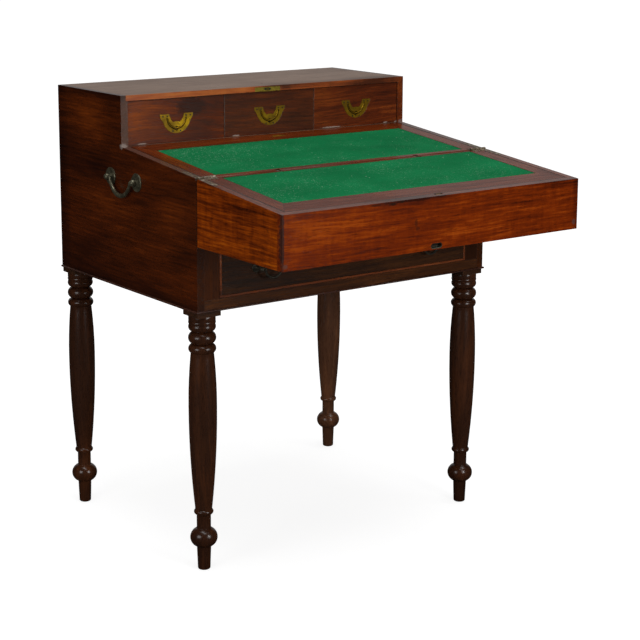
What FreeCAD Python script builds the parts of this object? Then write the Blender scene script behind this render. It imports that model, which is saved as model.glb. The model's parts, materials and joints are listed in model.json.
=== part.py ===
import FreeCAD, Part
import math
import os

# Campaign desk in mahogany with brass fittings. Millimetres, floor at z = 0, X across the desk,
# the sitter at -Y. The desk stands open: the hollow flap hangs in front of the case on its fold hinges.

# Case
case_width = 712.0
case_depth = 530.0
case_floor = 517.5            # underside of the case above the floor
slope_rise = 28.0             # rise of the sloping rims from the fold to the small drawers
upper_depth = 258.0           # depth of the raised part with the small drawers
side_thickness = 15.5
top_thickness = 11.5
top_lap = 4.0                 # how far the top's ends are let into the sides
back_thickness = 10.0
front_thickness = 15.5        # panel, stiles and rail of the front
deck_thickness = 8.5          # board under the small drawers
deck_rail_depth = 13.5        # ledge of the deck that carries the rear leaf
deck_rail_height = 13.5
dustboard_thickness = 8.0
floor_board_thickness = 10.0
divider_thickness = 8.0
stile_width = 34.0
rail_height = 23.5
long_opening_height = 99.0    # openings of the long drawer and the small ones
small_opening_height = 89.0
bead_height = 4.0             # bead round the foot of the case
bead_projection = 3.0

# Legs
block_size = 52.0
block_thickness = 10.0
leg_inset = 27.0              # leg centre in from the faces of the case
tenon_radius = 10.0
tenon_length = 30.0
tenon_clearance = 0.1
foot_height = 47.0
foot_tip_radius = 12.3
foot_pad_radius = 9.0
foot_top_radius = 13.9
ball_height = 36.5
ball_radius = 26.6
ankle_height = 28.5
ankle_radius = 13.8
ankle_ring_height = 10.0
ankle_ring_radius = 18.9
shaft_bottom_radius = 16.3
shaft_swell_height = 207.5    # fullest girth above the foot of the shaft
shaft_swell_radius = 27.4
shaft_top_radius = 22.2
cushion_height = 17.0
cushion_radius = 26.6
cushion_fullness = 0.4        # where the cushion is fullest, as a share of its height
neck_radius = 17.4
torus_height = 24.2
torus_radius = 26.8
lower_bead_height = 14.8
lower_bead_fullness = 0.67
upper_bead_height = 7.5
turned_bead_radius = 26.4
groove_radius = 24.7
collar_height = 9.0
collar_radius = 26.0

# Flap: a hollow wedge that folds back over the slope and closes the desk to a plain box
fold_gap = 2.0                # between the flap and the front of the case
rim_gap = 0.5                 # between the rims when closed
flap_lift = 5.0               # open flap above the opening of the long drawer
flap_clearance = 1.0          # between the closed flap and the raised part
flap_wall = 14.5
flap_panel_thickness = 11.0
flap_ledge_depth = 8.0
flap_ledge_height = 12.0

# Fold hinges: L-shaped plates let into the rims, with a short barrel on the fold
hinge_margin = 1.5
barrel_radius = 3.2
barrel_length = 40.0
barrel_clearance = 0.3
hinge_pin_radius = 1.5
hinge_pin_clearance = 0.05
knuckle_gap = 0.3
strap_length = 56.0
strap_width = 12.0
hinge_foot_depth = 11.0
hinge_plate_thickness = 1.8

# Writing leaves, hinged along the fold over the well and over the flap
leaf_thickness = 8.0
leaf_drop = 0.3               # surface below the rims
leaf_seat = 0.2
leaf_clearance = 0.8
leaf_fold_gap = 1.2           # between the two leaves
side_border = 34.0
rear_border_at_fold = 14.0
rear_border_at_drawers = 47.0
front_border_at_fold = 7.2
front_border_at_edge = 52.0
baize_thickness = 1.1
baize_recess = 1.2
baize_clearance = 0.3
pivot_offset = 170.0          # leaf pivots either side of the middle
pivot_pin_radius = 1.5
pivot_pin_reach = 8.5
pivot_pin_clearance = 0.06
pivot_lug_width = 9.2
pivot_lug_radius = 3.2
pivot_notch_clearance = 0.5
pivot_plate_length = 30.0
pivot_plate_width = 11.0
pivot_plate_thickness = 1.5

# Catches that lift the leaves
catch_length = 30.0
catch_width = 8.0
catch_thickness = 2.0
catch_knob_radius = 3.0
catch_knob_height = 0.5
catch_offset = 6.0
catch_margin = 20.0           # rear catch in from the leaf's edge
finger_notch_length = 20.0
finger_notch_width = 5.0
front_catch_length = 12.0
front_catch_width = 4.0

# Drawers
drawer_clearance = 0.6
small_front_recess = 2.0
small_front_thickness = 13.5
small_drawer_stop = 20.5      # between a drawer's back and the back board
small_side_thickness = 7.0
small_side_drop = 18.5        # sides below the top of the opening
small_bottom_thickness = 4.0
long_front_thickness = 18.0
long_drawer_stop = 25.0
long_side_thickness = 9.0
long_side_drop = 20.0
long_bottom_thickness = 6.0
groove_depth = 3.0            # grooves that hold the drawer bottoms
bottom_rise = 5.0             # bottoms above the lower edge of the sides
cockbead_width = 4.5
cockbead_depth = 8.0
cockbead_projection = 1.5
cockbead_nose = 1.2
runner_shelf = 20.0
guide_height = 45.0

# Skeleton flush handles
handle_half_width = 38.75
handle_ear_top = 19.5         # top of the ears above the middle of the handle
handle_ear_inner = 17.3
handle_ear_foot = 13.0        # where the ears' outer sides end
handle_bottom = 19.5
handle_side_slant = 0.8
handle_shoulder_step = 7.25
handle_shoulder_height = 4.0
handle_dip_share = 0.44       # dips and hollows of the inner edge, as shares of its half width
handle_hollow_share = 0.78
handle_dip_height = 2.7
handle_hump_height = 4.1
handle_hollow_height = 9.0
handle_scoop_radius = 4.5     # hollow for the finger that lifts the bail
handle_web = 0.5              # metal left behind the channel for the bail
handle_pivot_height = 9.2     # bail pivots above the middle of the handle
handle_bow_rise = 2.4         # middle of the bail's bow above its pivots
handle_bail_radius = 21.6
handle_bar_radius = 1.8
handle_pin_radius = 1.2
handle_pin_reach = 5.3
handle_pin_clearance = 0.06
handle_channel_clearance = 0.5
handle_bail_sink = 0.4        # bail below the face of the plate
handle_inlay_clearance = 0.1
small_handle_drop = 7.0       # handle below the middle of a small drawer

# Drop handles on the long drawer: two turned posts with balls and a half-round bail
drop_inset = 110.5            # middle of a handle in from the end of the opening
drop_standoff = 20.0
drop_bail_radius = 19.2
drop_bar_radius = 2.4
drop_pin_radius = 1.5
drop_pin_clearance = 0.08
drop_arm_gap = 0.8
drop_ball_radius = 4.6
drop_neck_radius = 3.0
drop_neck_height = 6.0
drop_plate_radius = 9.5
drop_plate_edge = 0.9
drop_shank_radius = 2.0
drop_shank_clearance = 0.1
drop_shank_end = 1.0          # shank beyond its nut
drop_nut_width = 9.0
drop_nut_thickness = 3.0

boss_hollow_run = 0.18        # how far the hollow of a turned boss bows in, as shares of its run and rise
boss_hollow_rise = 0.35

# Carrying handles on the sides
carry_height = 738.0
carry_spacing = 100.0
carry_plate_radius = 18.3
carry_plate_edge = 1.4
carry_neck_radius = 5.0
carry_neck_height = 4.2
carry_ball_radius = 6.8
carry_standoff = 9.4
carry_pin_radius = 2.4
carry_pin_clearance = 0.08
carry_arm_gap = 0.8
carry_end_radius = 3.0
carry_grip_radius = 4.5
carry_bend_radius = 4.5
carry_drop = 32.0

# Lock in the edge of the top board
lock_offset = -6.5
lock_plate_length = 63.0
lock_plate_height = 8.6
lock_plate_thickness = 1.5
lock_plate_margin = 0.3       # above the underside of the top board
lock_body_length = 52.0
lock_body_depth = 60.0
lock_body_height = 7.3
lock_wall = 1.2
lock_fit = 0.15
bolt_prong_width = 5.0
bolt_prong_pitch = 10.5
bolt_thickness = 4.4
bolt_body_length = 22.0
bolt_body_depth = 20.0
bolt_throw = 6.0
keyhole_radius = 2.4
keyhole_slot = 2.0
keyhole_length = 7.0
keyhole_setback = 50.5
keyhole_offset = 18.5         # keyhole to the right of the lock's middle
strike_length = 27.0
strike_height = 10.0
strike_depth = 10.0
strike_wall = 1.5

# Positions that follow from the sizes above. The desk is centred on its footprint when open.
V = FreeCAD.Vector
opening_bottom = case_floor + rail_height
opening_top = opening_bottom + long_opening_height
raised_height = slope_rise + small_opening_height + top_thickness
fold_height = opening_top + flap_lift + raised_height
slope_top = fold_height + slope_rise
top_underside = slope_top + small_opening_height
case_height = top_underside + top_thickness
slope_run = case_depth - upper_depth
slope_angle = math.degrees(math.atan2(slope_rise, slope_run))
slope_sine = math.sin(math.radians(slope_angle))
slope_cosine = math.cos(math.radians(slope_angle))
hinge_setback = fold_gap / 2 + slope_sine * rim_gap / 2
open_depth = case_depth + slope_run + 2 * hinge_setback - flap_clearance
back_y = open_depth / 2
front_y = back_y - case_depth
upper_front_y = back_y - upper_depth
fold_y = front_y - fold_gap / 2
half_width = case_width / 2
inner_x = half_width - side_thickness


def rim_at(y):
    """Height of the sloping rims at a depth."""
    return fold_height + (y - front_y) * slope_rise / slope_run


fold_z = rim_at(fold_y)
hinge_y = front_y - hinge_setback
hinge_z = fold_z + slope_cosine * rim_gap / 2
flap_front_y = 2 * hinge_y - (upper_front_y - flap_clearance)
flap_back_y = 2 * hinge_y - front_y
flap_bottom = 2 * hinge_z - case_height
inner_back_y = back_y - back_thickness
opening_x = inner_x - stile_width
drop_offset = opening_x - drop_inset
drop_post_offset = drop_bail_radius + drop_bar_radius + drop_arm_gap + drop_ball_radius
leaf_bottom = -(leaf_drop + leaf_thickness)
pivot_v = leaf_fold_gap / 2 + leaf_thickness / 2
pivot_w = -leaf_drop - leaf_thickness / 2
barrel_inner_x = half_width - hinge_margin - barrel_length
leaf_half_width = inner_x - leaf_clearance
leaf_notch_x = barrel_inner_x - leaf_clearance
standing_notch = pivot_v - pivot_w + rim_gap / 2 + barrel_radius
leaf_notch_v = max(hinge_foot_depth, standing_notch) + leaf_clearance
horn_depth = hinge_foot_depth * slope_cosine - fold_gap / 2
baize_half_width = leaf_half_width - side_border
rear_leaf_end = (upper_front_y - leaf_clearance - fold_y + leaf_bottom * slope_sine) / slope_cosine
front_leaf_end = (fold_y - flap_front_y - flap_wall - leaf_clearance) / slope_cosine
small_pitch = 2 * inner_x / 3
small_front_back_y = upper_front_y + small_front_recess + small_front_thickness
leg_top = case_floor - block_thickness
small_drawer_depth = upper_depth - back_thickness - small_front_recess - small_drawer_stop
small_side_height = small_opening_height - small_side_drop
long_drawer_depth = case_depth - back_thickness - long_drawer_stop
long_side_height = long_opening_height - long_side_drop
handle_axis_depth = handle_bar_radius + handle_bail_sink
handle_channel_half = handle_bar_radius + handle_channel_clearance
handle_channel_depth = handle_axis_depth + handle_channel_half
handle_plate_thickness = handle_channel_depth + handle_web
handle_pivot_x = math.sqrt(handle_bail_radius**2 - handle_bow_rise**2)


def box(x0, x1, y0, y1, z0, z1):
    return Part.makeBox(x1 - x0, y1 - y0, z1 - z0, V(x0, y0, z0))


def prism_x(points, x0, x1):
    """Outline of (y, z) points drawn out along X."""
    wire = Part.makePolygon([V(x0, y, z) for y, z in points + points[:1]])
    return Part.Face(wire).extrude(V(x1 - x0, 0, 0))


def prism_y(points, y0, y1):
    """Outline of (x, z) points drawn out along Y."""
    wire = Part.makePolygon([V(x, y0, z) for x, z in points + points[:1]])
    return Part.Face(wire).extrude(V(0, y1 - y0, 0))


def rod(radius, start, end):
    """Round bar between two points."""
    along = end - start
    return Part.makeCylinder(radius, along.Length, start, along)


def mirror_x(shape):
    return shape.mirror(V(0, 0, 0), V(1, 0, 0))


def mirror_v(shape):
    """From the rear side of the fold to the front side."""
    return shape.mirror(V(0, 0, 0), V(0, 1, 0))


def tilt(shape):
    """Moves a shape drawn flat, with the fold on the X axis and the rims at z = 0, onto the slope."""
    placed = shape.copy()
    placed.rotate(V(0, 0, 0), V(1, 0, 0), slope_angle)
    placed.translate(V(0, fold_y, fold_z))
    return placed


def shifted(shape, x, y, z):
    placed = shape.copy()
    placed.translate(V(x, y, z))
    return placed


def save(name, *solids):
    shape = solids[0] if len(solids) == 1 else Part.makeCompound(list(solids))
    shape.exportStep("parts/" + name + ".step")


def below_leaf(y):
    """Height of what carries a leaf, at a depth."""
    return rim_at(y) + (leaf_bottom - leaf_seat) / slope_cosine


def below_hinge(y):
    """Height of the wood under a hinge plate, at a depth."""
    return rim_at(y) - hinge_plate_thickness / slope_cosine


# Fold hinges, drawn on the flat for the left side and the rear half


def knuckle_span(index):
    """Start and end along X of one of the three knuckles, counted from the outside."""
    pitch = barrel_length / 3
    start = -half_width + hinge_margin + index * pitch
    return start + knuckle_gap / 2, start + pitch - knuckle_gap / 2


def barrel(radius, x0, x1):
    return rod(radius, V(x0, 0, rim_gap / 2), V(x1, 0, rim_gap / 2))


def hinge_plate_outline(clearance):
    x0 = -half_width + hinge_margin - clearance
    depth = hinge_plate_thickness
    strap_end = strap_length - strap_width / 2
    strap = box(x0, x0 + strap_width + 2 * clearance, 0, strap_end, -depth, 0)
    middle = V(x0 + strap_width / 2 + clearance, strap_end, -depth)
    round_end = Part.makeCylinder(strap_width / 2 + clearance, depth, middle)
    foot = box(x0, -barrel_inner_x + clearance, 0, hinge_foot_depth + clearance, -depth, 0)
    return strap.fuse([round_end, foot]).removeSplitter()


def hinge_leaf(own, others):
    plate = hinge_plate_outline(0)
    for index in others:
        x0, x1 = knuckle_span(index)
        plate = plate.cut(barrel(barrel_radius + barrel_clearance, x0 - knuckle_gap, x1 + knuckle_gap))
    for index in own:
        plate = plate.fuse(barrel(barrel_radius, *knuckle_span(index)))
    bore = barrel(hinge_pin_radius + hinge_pin_clearance, -half_width, -barrel_inner_x + knuckle_gap)
    return plate.cut(bore).removeSplitter()


def hinge_seat():
    """Wood taken out of the rims on the rear side of the fold for a hinge."""
    reach = barrel(barrel_radius + barrel_clearance, -half_width - 1, -barrel_inner_x + leaf_clearance)
    return hinge_plate_outline(hinge_pin_clearance).fuse(reach)


def make_fold_hinges():
    rear = hinge_leaf((0, 2), (1,))
    front = mirror_v(hinge_leaf((1,), (0, 2)))
    first, last = knuckle_span(0)[0], knuckle_span(2)[1]
    pin = barrel(hinge_pin_radius, first, last)
    save("hinge_plates_case", tilt(rear), tilt(mirror_x(rear)))
    save("hinge_plates_flap", tilt(front), tilt(mirror_x(front)))
    save("hinge_pins", tilt(pin), tilt(mirror_x(pin)))


def cut_hinge_seats(shape, front):
    seat = hinge_seat()
    if front:
        seat = mirror_v(seat)
    return shape.cut([tilt(seat), tilt(mirror_x(seat))])


# Pivots of the writing leaves


def pivot_bracket(x):
    """Brass plate with a round lug and a pin through it, on the rear side of the fold."""
    seat = leaf_bottom - leaf_seat
    plate_start = pivot_v - pivot_lug_radius
    plate = box(
        x - pivot_plate_length / 2,
        x + pivot_plate_length / 2,
        plate_start,
        plate_start + pivot_plate_width,
        seat - pivot_plate_thickness,
        seat,
    )
    half = pivot_lug_width / 2
    lug = box(x - half, x + half, pivot_v - pivot_lug_radius, pivot_v + pivot_lug_radius, seat, pivot_w)
    eye = rod(pivot_lug_radius, V(x - half, pivot_v, pivot_w), V(x + half, pivot_v, pivot_w))
    reach = half + pivot_pin_reach
    pin = rod(pivot_pin_radius, V(x - reach, pivot_v, pivot_w), V(x + reach, pivot_v, pivot_w))
    return plate.fuse([lug, eye, pin]).removeSplitter()


def pivot_seat(x):
    """Wood taken out for the bracket's plate."""
    seat = leaf_bottom - leaf_seat
    fit = pivot_pin_clearance
    start = pivot_v - pivot_lug_radius - fit
    end = start + pivot_plate_width + 2 * fit
    half = pivot_plate_length / 2 + fit
    return box(x - half, x + half, start, end, seat - pivot_plate_thickness, 0)


def make_leaf_pivots():
    rear = [pivot_bracket(x) for x in (-pivot_offset, pivot_offset)]
    save("rear_leaf_pivots", *[tilt(shape) for shape in rear])
    save("front_leaf_pivots", *[tilt(mirror_v(shape)) for shape in rear])


def cut_pivot_seats(shape, front):
    seats = [pivot_seat(x) for x in (-pivot_offset, pivot_offset)]
    if front:
        seats = [mirror_v(seat) for seat in seats]
    return shape.cut([tilt(seat) for seat in seats])


# Case


def make_case_sides():
    outline = [
        (front_y, case_floor),
        (front_y, fold_height),
        (upper_front_y, slope_top),
        (upper_front_y, case_height),
        (back_y, case_height),
        (back_y, case_floor),
    ]
    board = prism_x(outline, -half_width, -inner_x)
    lap = box(-inner_x - top_lap, -inner_x, upper_front_y, back_y, top_underside, case_height)
    left = cut_hinge_seats(board.cut(lap), False)
    save("case_side_left", left)
    save("case_side_right", mirror_x(left))


def keyhole(z0, z1):
    x = lock_offset + keyhole_offset
    y = upper_front_y + keyhole_setback
    eye = Part.makeCylinder(keyhole_radius, z1 - z0, V(x, y, z0))
    half = keyhole_slot / 2
    slot = box(x - half, x + half, y - keyhole_length + keyhole_radius, y, z0, z1)
    return eye.fuse(slot)


lock_plate_bottom = top_underside + lock_plate_margin
lock_middle = lock_plate_bottom + lock_plate_height / 2
lock_x0 = lock_offset - lock_body_length / 2
lock_x1 = lock_offset + lock_body_length / 2


def make_top_board():
    reach = inner_x + top_lap
    board = box(-reach, reach, upper_front_y, back_y, top_underside, case_height)
    half = lock_body_height / 2 + lock_fit
    mortise = box(
        lock_x0 - lock_fit,
        lock_x1 + lock_fit,
        upper_front_y,
        upper_front_y + lock_body_depth + lock_fit,
        lock_middle - half,
        lock_middle + half,
    )
    plate_half = lock_plate_length / 2 + lock_fit
    plate_seat = box(
        lock_offset - plate_half,
        lock_offset + plate_half,
        upper_front_y,
        upper_front_y + lock_plate_thickness,
        lock_plate_bottom - lock_fit,
        lock_plate_bottom + lock_plate_height + lock_fit,
    )
    save("top_board", board.cut([mortise, plate_seat, keyhole(lock_middle, case_height)]))


def prongs(clearance, y0, y1):
    half = bolt_prong_width / 2 + clearance
    rise = bolt_thickness / 2 + clearance
    middles = (lock_offset - bolt_prong_pitch / 2, lock_offset + bolt_prong_pitch / 2)
    return [box(x - half, x + half, y0, y1, lock_middle - rise, lock_middle + rise) for x in middles]


def make_lock():
    face = box(
        lock_offset - lock_plate_length / 2,
        lock_offset + lock_plate_length / 2,
        upper_front_y,
        upper_front_y + lock_plate_thickness,
        lock_plate_bottom,
        lock_plate_bottom + lock_plate_height,
    )
    half = lock_body_height / 2
    plate_back = upper_front_y + lock_plate_thickness
    body_back = upper_front_y + lock_body_depth
    body = box(lock_x0, lock_x1, plate_back, body_back, lock_middle - half, lock_middle + half)
    room_half = bolt_body_length / 2 + lock_fit
    rise = bolt_thickness / 2 + lock_fit
    bolt_front = plate_back + lock_wall + bolt_throw
    room = box(
        lock_offset - room_half,
        lock_offset + room_half,
        plate_back + lock_wall,
        bolt_front + bolt_body_depth + lock_fit,
        lock_middle - rise,
        lock_middle + rise,
    )
    slots = prongs(lock_fit, upper_front_y, bolt_front)
    case = face.fuse(body).cut([room, keyhole(lock_middle, case_height)] + slots)
    save("lock_case", case.removeSplitter())
    half = bolt_body_length / 2
    rise = bolt_thickness / 2
    slide = box(
        lock_offset - half,
        lock_offset + half,
        bolt_front,
        bolt_front + bolt_body_depth,
        lock_middle - rise,
        lock_middle + rise,
    )
    save("lock_bolt", slide.fuse(prongs(0, upper_front_y, bolt_front)).removeSplitter())


def make_case_boards():
    save("case_back", box(-inner_x, inner_x, inner_back_y, back_y, case_floor, top_underside))
    deck_bottom = slope_top - deck_thickness
    rail_bottom = deck_bottom - deck_rail_height
    ledge_y = upper_front_y - deck_rail_depth
    deck_outline = [
        (upper_front_y, slope_top),
        (inner_back_y, slope_top),
        (inner_back_y, deck_bottom),
        (upper_front_y + deck_rail_depth, deck_bottom),
        (upper_front_y + deck_rail_depth, rail_bottom),
        (ledge_y, rail_bottom),
        (ledge_y, below_leaf(ledge_y)),
        (upper_front_y, below_leaf(upper_front_y)),
    ]
    save("drawer_deck", prism_x(deck_outline, -inner_x, inner_x))
    x0 = (small_pitch - divider_thickness) / 2
    x1 = x0 + divider_thickness
    divider_y = small_front_back_y + drawer_clearance
    divider = box(x0, x1, divider_y, inner_back_y, slope_top, top_underside)
    save("drawer_dividers", mirror_x(divider), divider)
    behind_front = front_y + front_thickness
    dust = box(-inner_x, inner_x, behind_front, inner_back_y, opening_top, opening_top + dustboard_thickness)
    save("dustboard", dust)
    floor_top = case_floor + floor_board_thickness
    board = box(-inner_x, inner_x, behind_front, inner_back_y, case_floor, floor_top)
    save("floor_board", board.cut(tenon_holes()))
    runner_x = opening_x - runner_shelf
    outline = [
        (inner_x, floor_top),
        (inner_x, floor_top + guide_height),
        (opening_x, floor_top + guide_height),
        (opening_x, opening_bottom),
        (runner_x, opening_bottom),
        (runner_x, floor_top),
    ]
    runner = prism_y(outline, behind_front, inner_back_y).cut(tenon_holes())
    save("drawer_runners", mirror_x(runner), runner)


def front_outline(y0, y1, z0, height):
    """Upright board whose top edge follows a height function."""
    return [(y0, z0), (y0, height(y0)), (y1, height(y1)), (y1, z0)]


def make_front():
    behind = front_y + front_thickness
    panel = prism_x(front_outline(front_y, behind, opening_top, below_leaf), -inner_x, inner_x)
    outline = front_outline(front_y, front_y + horn_depth, opening_top, below_hinge)
    horn = prism_x(outline, -inner_x, -barrel_inner_x)
    panel = panel.fuse([horn, mirror_x(horn)]).removeSplitter()
    save("front_panel", cut_pivot_seats(cut_hinge_seats(panel, False), False))
    stile = box(opening_x, inner_x, front_y, behind, opening_bottom, opening_top)
    save("front_stiles", mirror_x(stile), stile)
    save("front_rail", box(-inner_x, inner_x, front_y, behind, case_floor, opening_bottom))


def make_base_bead():
    out = bead_projection
    top = case_floor + bead_height
    nose = bead_height / 2
    foot = V(0, 0, case_floor)
    head = V(0, 0, top)
    nose_top = V(0, nose - out, top)
    nose_tip = V(0, -out, case_floor + nose)
    nose_foot = V(0, nose - out, case_floor)
    rounded = Part.Arc(nose_top, nose_tip, nose_foot)
    straight = [Part.LineSegment(*ends) for ends in ((foot, head), (head, nose_top), (nose_foot, foot))]
    pieces = [piece.toShape() for piece in [straight[0], straight[1], rounded, straight[2]]]
    face = Part.Face(Part.Wire(pieces))
    front = face.extrude(V(case_width + 2 * out, 0, 0))
    front = shifted(front, -half_width - out, front_y, 0)
    corner = 2 * out
    mitre = Part.makePolygon(
        [
            V(-half_width - corner, front_y - corner, 0),
            V(-half_width + corner, front_y + corner, 0),
            V(-half_width - corner, front_y + corner, 0),
            V(-half_width - corner, front_y - corner, 0),
        ]
    )
    wedge = Part.Face(mitre).extrude(V(0, 0, case_height))
    front = front.cut([wedge, mirror_x(wedge)])
    side = face.extrude(V(case_depth + out, 0, 0))
    side.rotate(V(0, 0, 0), V(0, 0, 1), -90)
    side = shifted(side, -half_width, back_y, 0)
    keep = wedge.fuse(box(-half_width - corner, -half_width, front_y + corner, back_y, 0, case_height))
    side = side.common(keep)
    save("base_bead", front, side, mirror_x(side))


# Legs


def leg_places():
    x = half_width - leg_inset
    return {
        "front_left": (-x, front_y + leg_inset),
        "front_right": (x, front_y + leg_inset),
        "rear_left": (-x, back_y - leg_inset),
        "rear_right": (x, back_y - leg_inset),
    }


def tenon_holes():
    radius = tenon_radius + tenon_clearance
    length = tenon_length + 2 * tenon_clearance
    return [Part.makeCylinder(radius, length, V(x, y, leg_top)) for x, y in leg_places().values()]


def arc_through(a, b, c):
    return Part.Arc(V(a[0], 0, a[1]), V(b[0], 0, b[1]), V(c[0], 0, c[1])).toShape()


def line_to(a, b):
    return Part.LineSegment(V(a[0], 0, a[1]), V(b[0], 0, b[1])).toShape()


def swelling(full_radius, full_z, end_radius, end_z):
    """Point halfway along an arc that leaves its fullest girth upright and reaches a radius at a height."""
    length = abs(end_z - full_z)
    fall = full_radius - end_radius
    curve = (length**2 + fall**2) / (2 * fall)
    middle_z = (full_z + end_z) / 2
    return full_radius - curve + math.sqrt(curve**2 - (middle_z - full_z) ** 2), middle_z


def turned_leg():
    """One leg on the Z axis: foot, ball, ankle and ring, swelling shaft, cushion, torus, beads, collar."""
    ball_z = foot_height
    ankle_z = ball_z + ball_height
    ring_z = ankle_z + ankle_height
    shaft_z = ring_z + ankle_ring_height
    collar_z = leg_top - collar_height
    upper_bead_z = collar_z - upper_bead_height
    lower_bead_z = upper_bead_z - lower_bead_height
    torus_z = lower_bead_z - torus_height
    cushion_z = torus_z - cushion_height
    lower_bead_full_z = lower_bead_z + lower_bead_height * lower_bead_fullness
    swell = (shaft_swell_radius, shaft_z + shaft_swell_height)
    rounding = foot_tip_radius - foot_pad_radius
    pad = (foot_pad_radius, 0)
    foot_side = (foot_tip_radius, rounding)
    foot_top = (foot_top_radius, ball_z)
    ball_top = (ankle_radius, ankle_z)
    ring_bottom = (ankle_radius, ring_z)
    shaft_bottom = (shaft_bottom_radius, shaft_z)
    shaft_top = (shaft_top_radius, cushion_z)
    cushion_top = (neck_radius, torus_z)
    torus_top = (neck_radius, lower_bead_z)
    lower_bead_top = (groove_radius, upper_bead_z)
    upper_bead_top = (groove_radius, collar_z)
    collar_bottom = (collar_radius, collar_z)
    collar_top = (collar_radius, leg_top)
    tenon_foot = (tenon_radius, leg_top)
    tenon_head = (tenon_radius, leg_top + tenon_length)
    bend = rounding * (1 - math.sqrt(0.5))
    edges = [
        line_to((0, 0), pad),
        arc_through(pad, (foot_tip_radius - bend, bend), foot_side),
        line_to(foot_side, foot_top),
        arc_through(foot_top, (ball_radius, ball_z + ball_height / 2), ball_top),
        line_to(ball_top, ring_bottom),
        arc_through(ring_bottom, (ankle_ring_radius, ring_z + ankle_ring_height / 2), shaft_bottom),
        arc_through(shaft_bottom, swelling(*swell, *shaft_bottom), swell),
        arc_through(swell, swelling(*swell, *shaft_top), shaft_top),
        arc_through(shaft_top, (cushion_radius, cushion_z + cushion_height * cushion_fullness), cushion_top),
        arc_through(cushion_top, (torus_radius, torus_z + torus_height / 2), torus_top),
        arc_through(torus_top, (turned_bead_radius, lower_bead_full_z), lower_bead_top),
        arc_through(lower_bead_top, (turned_bead_radius, collar_z - upper_bead_height / 2), upper_bead_top),
        line_to(upper_bead_top, collar_bottom),
        line_to(collar_bottom, collar_top),
        line_to(collar_top, tenon_foot),
        line_to(tenon_foot, tenon_head),
        line_to(tenon_head, (0, tenon_head[1])),
        line_to((0, tenon_head[1]), (0, 0)),
    ]
    return Part.Face(Part.Wire(edges)).revolve(V(0, 0, 0), V(0, 0, 1), 360)


def make_legs():
    leg = turned_leg()
    blocks = []
    half = block_size / 2
    for name, (x, y) in leg_places().items():
        save("leg_" + name, shifted(leg, x, y, 0))
        blocks.append(box(x - half, x + half, y - half, y + half, leg_top, case_floor).cut(tenon_holes()))
    save("leg_blocks", *blocks)


# Flap


def make_flap():
    front_inner = flap_front_y + flap_wall
    back_inner = flap_back_y - flap_wall
    side = prism_x(front_outline(front_inner, flap_back_y, flap_bottom, rim_at), -half_width, -inner_x)
    side = cut_hinge_seats(side, True)
    save("flap_side_left", side)
    save("flap_side_right", mirror_x(side))
    back_outline = front_outline(back_inner, flap_back_y, flap_bottom, below_leaf)
    horn_outline = front_outline(flap_back_y - horn_depth, flap_back_y, flap_bottom, below_hinge)
    horn = prism_x(horn_outline, -inner_x, -barrel_inner_x)
    back = prism_x(back_outline, -inner_x, inner_x).fuse([horn, mirror_x(horn)]).removeSplitter()
    save("flap_back", cut_pivot_seats(cut_hinge_seats(back, True), True))
    ledge_y = front_inner + flap_ledge_depth
    ledge_bottom = below_leaf(front_inner) - flap_ledge_height
    outline = [
        (flap_front_y, flap_bottom),
        (flap_front_y, rim_at(flap_front_y)),
        (front_inner, rim_at(front_inner)),
        (front_inner, below_leaf(front_inner)),
        (ledge_y, below_leaf(ledge_y)),
        (ledge_y, ledge_bottom),
        (front_inner, ledge_bottom - flap_ledge_depth),
        (front_inner, flap_bottom),
    ]
    front = prism_x(outline, -inner_x, inner_x)
    board = prism_x(front_outline(flap_front_y, front_inner, flap_bottom, rim_at), -half_width, half_width)
    front = front.fuse(board).removeSplitter()
    save("flap_front", front.cut([strike_block(lock_fit, 0), finger_notch()]))
    panel_top = flap_bottom + flap_panel_thickness
    save("flap_panel", box(-inner_x, inner_x, front_inner, back_inner, flap_bottom, panel_top))


def strike_block(clearance, wall):
    """Round-ended room of the strike in the flap's front, where the closed flap meets the lock."""
    z = 2 * hinge_z - lock_middle
    half = (strike_length - strike_height) / 2
    radius = strike_height / 2 + clearance - wall
    depth = strike_depth + clearance - wall
    end = flap_front_y + depth
    block = box(lock_offset - half, lock_offset + half, flap_front_y, end, z - radius, z + radius)
    centres = [V(lock_offset + side * half, flap_front_y, z) for side in (-1, 1)]
    rounds = [Part.makeCylinder(radius, depth, centre, V(0, 1, 0)) for centre in centres]
    return block.fuse(rounds).removeSplitter()


def make_strike():
    save("lock_strike", strike_block(0, 0).cut(strike_block(0, strike_wall)))


# Writing leaves and their baize


def leaf(end):
    """A leaf on the rear side of the fold, half-round at its pivots and notched round the hinges."""
    slab = box(-leaf_half_width, leaf_half_width, pivot_v, end, leaf_bottom, -leaf_drop)
    ends = [V(x, pivot_v, pivot_w) for x in (-leaf_half_width, leaf_half_width)]
    board = slab.fuse(rod(leaf_thickness / 2, *ends))
    under = leaf_bottom - leaf_seat
    corner = box(leaf_notch_x, inner_x, 0, leaf_notch_v, under, 0)
    cuts = [corner, mirror_x(corner)]
    half = pivot_lug_width / 2 + pivot_notch_clearance
    reach = half + pivot_pin_reach
    bore = pivot_pin_radius + pivot_pin_clearance
    notch_end = pivot_v + leaf_thickness / 2 + pivot_notch_clearance
    for x in (-pivot_offset, pivot_offset):
        cuts.append(box(x - half, x + half, 0, notch_end, under, 0))
        cuts.append(rod(bore, V(x - reach, pivot_v, pivot_w), V(x + reach, pivot_v, pivot_w)))
    return board.cut(cuts).removeSplitter()


def baize(start, end, clearance, depth):
    """Cloth panel or its recess on the rear side of the fold."""
    half = baize_half_width - clearance
    low = -leaf_drop - baize_recess
    return box(-half, half, start + clearance, end - clearance, low, low + depth)


finger_notch_end = front_leaf_end + finger_notch_width
rear_baize_span = (leaf_fold_gap / 2 + rear_border_at_fold, rear_leaf_end - rear_border_at_drawers)
front_baize_span = (leaf_fold_gap / 2 + front_border_at_fold, front_leaf_end - front_border_at_edge)


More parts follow.
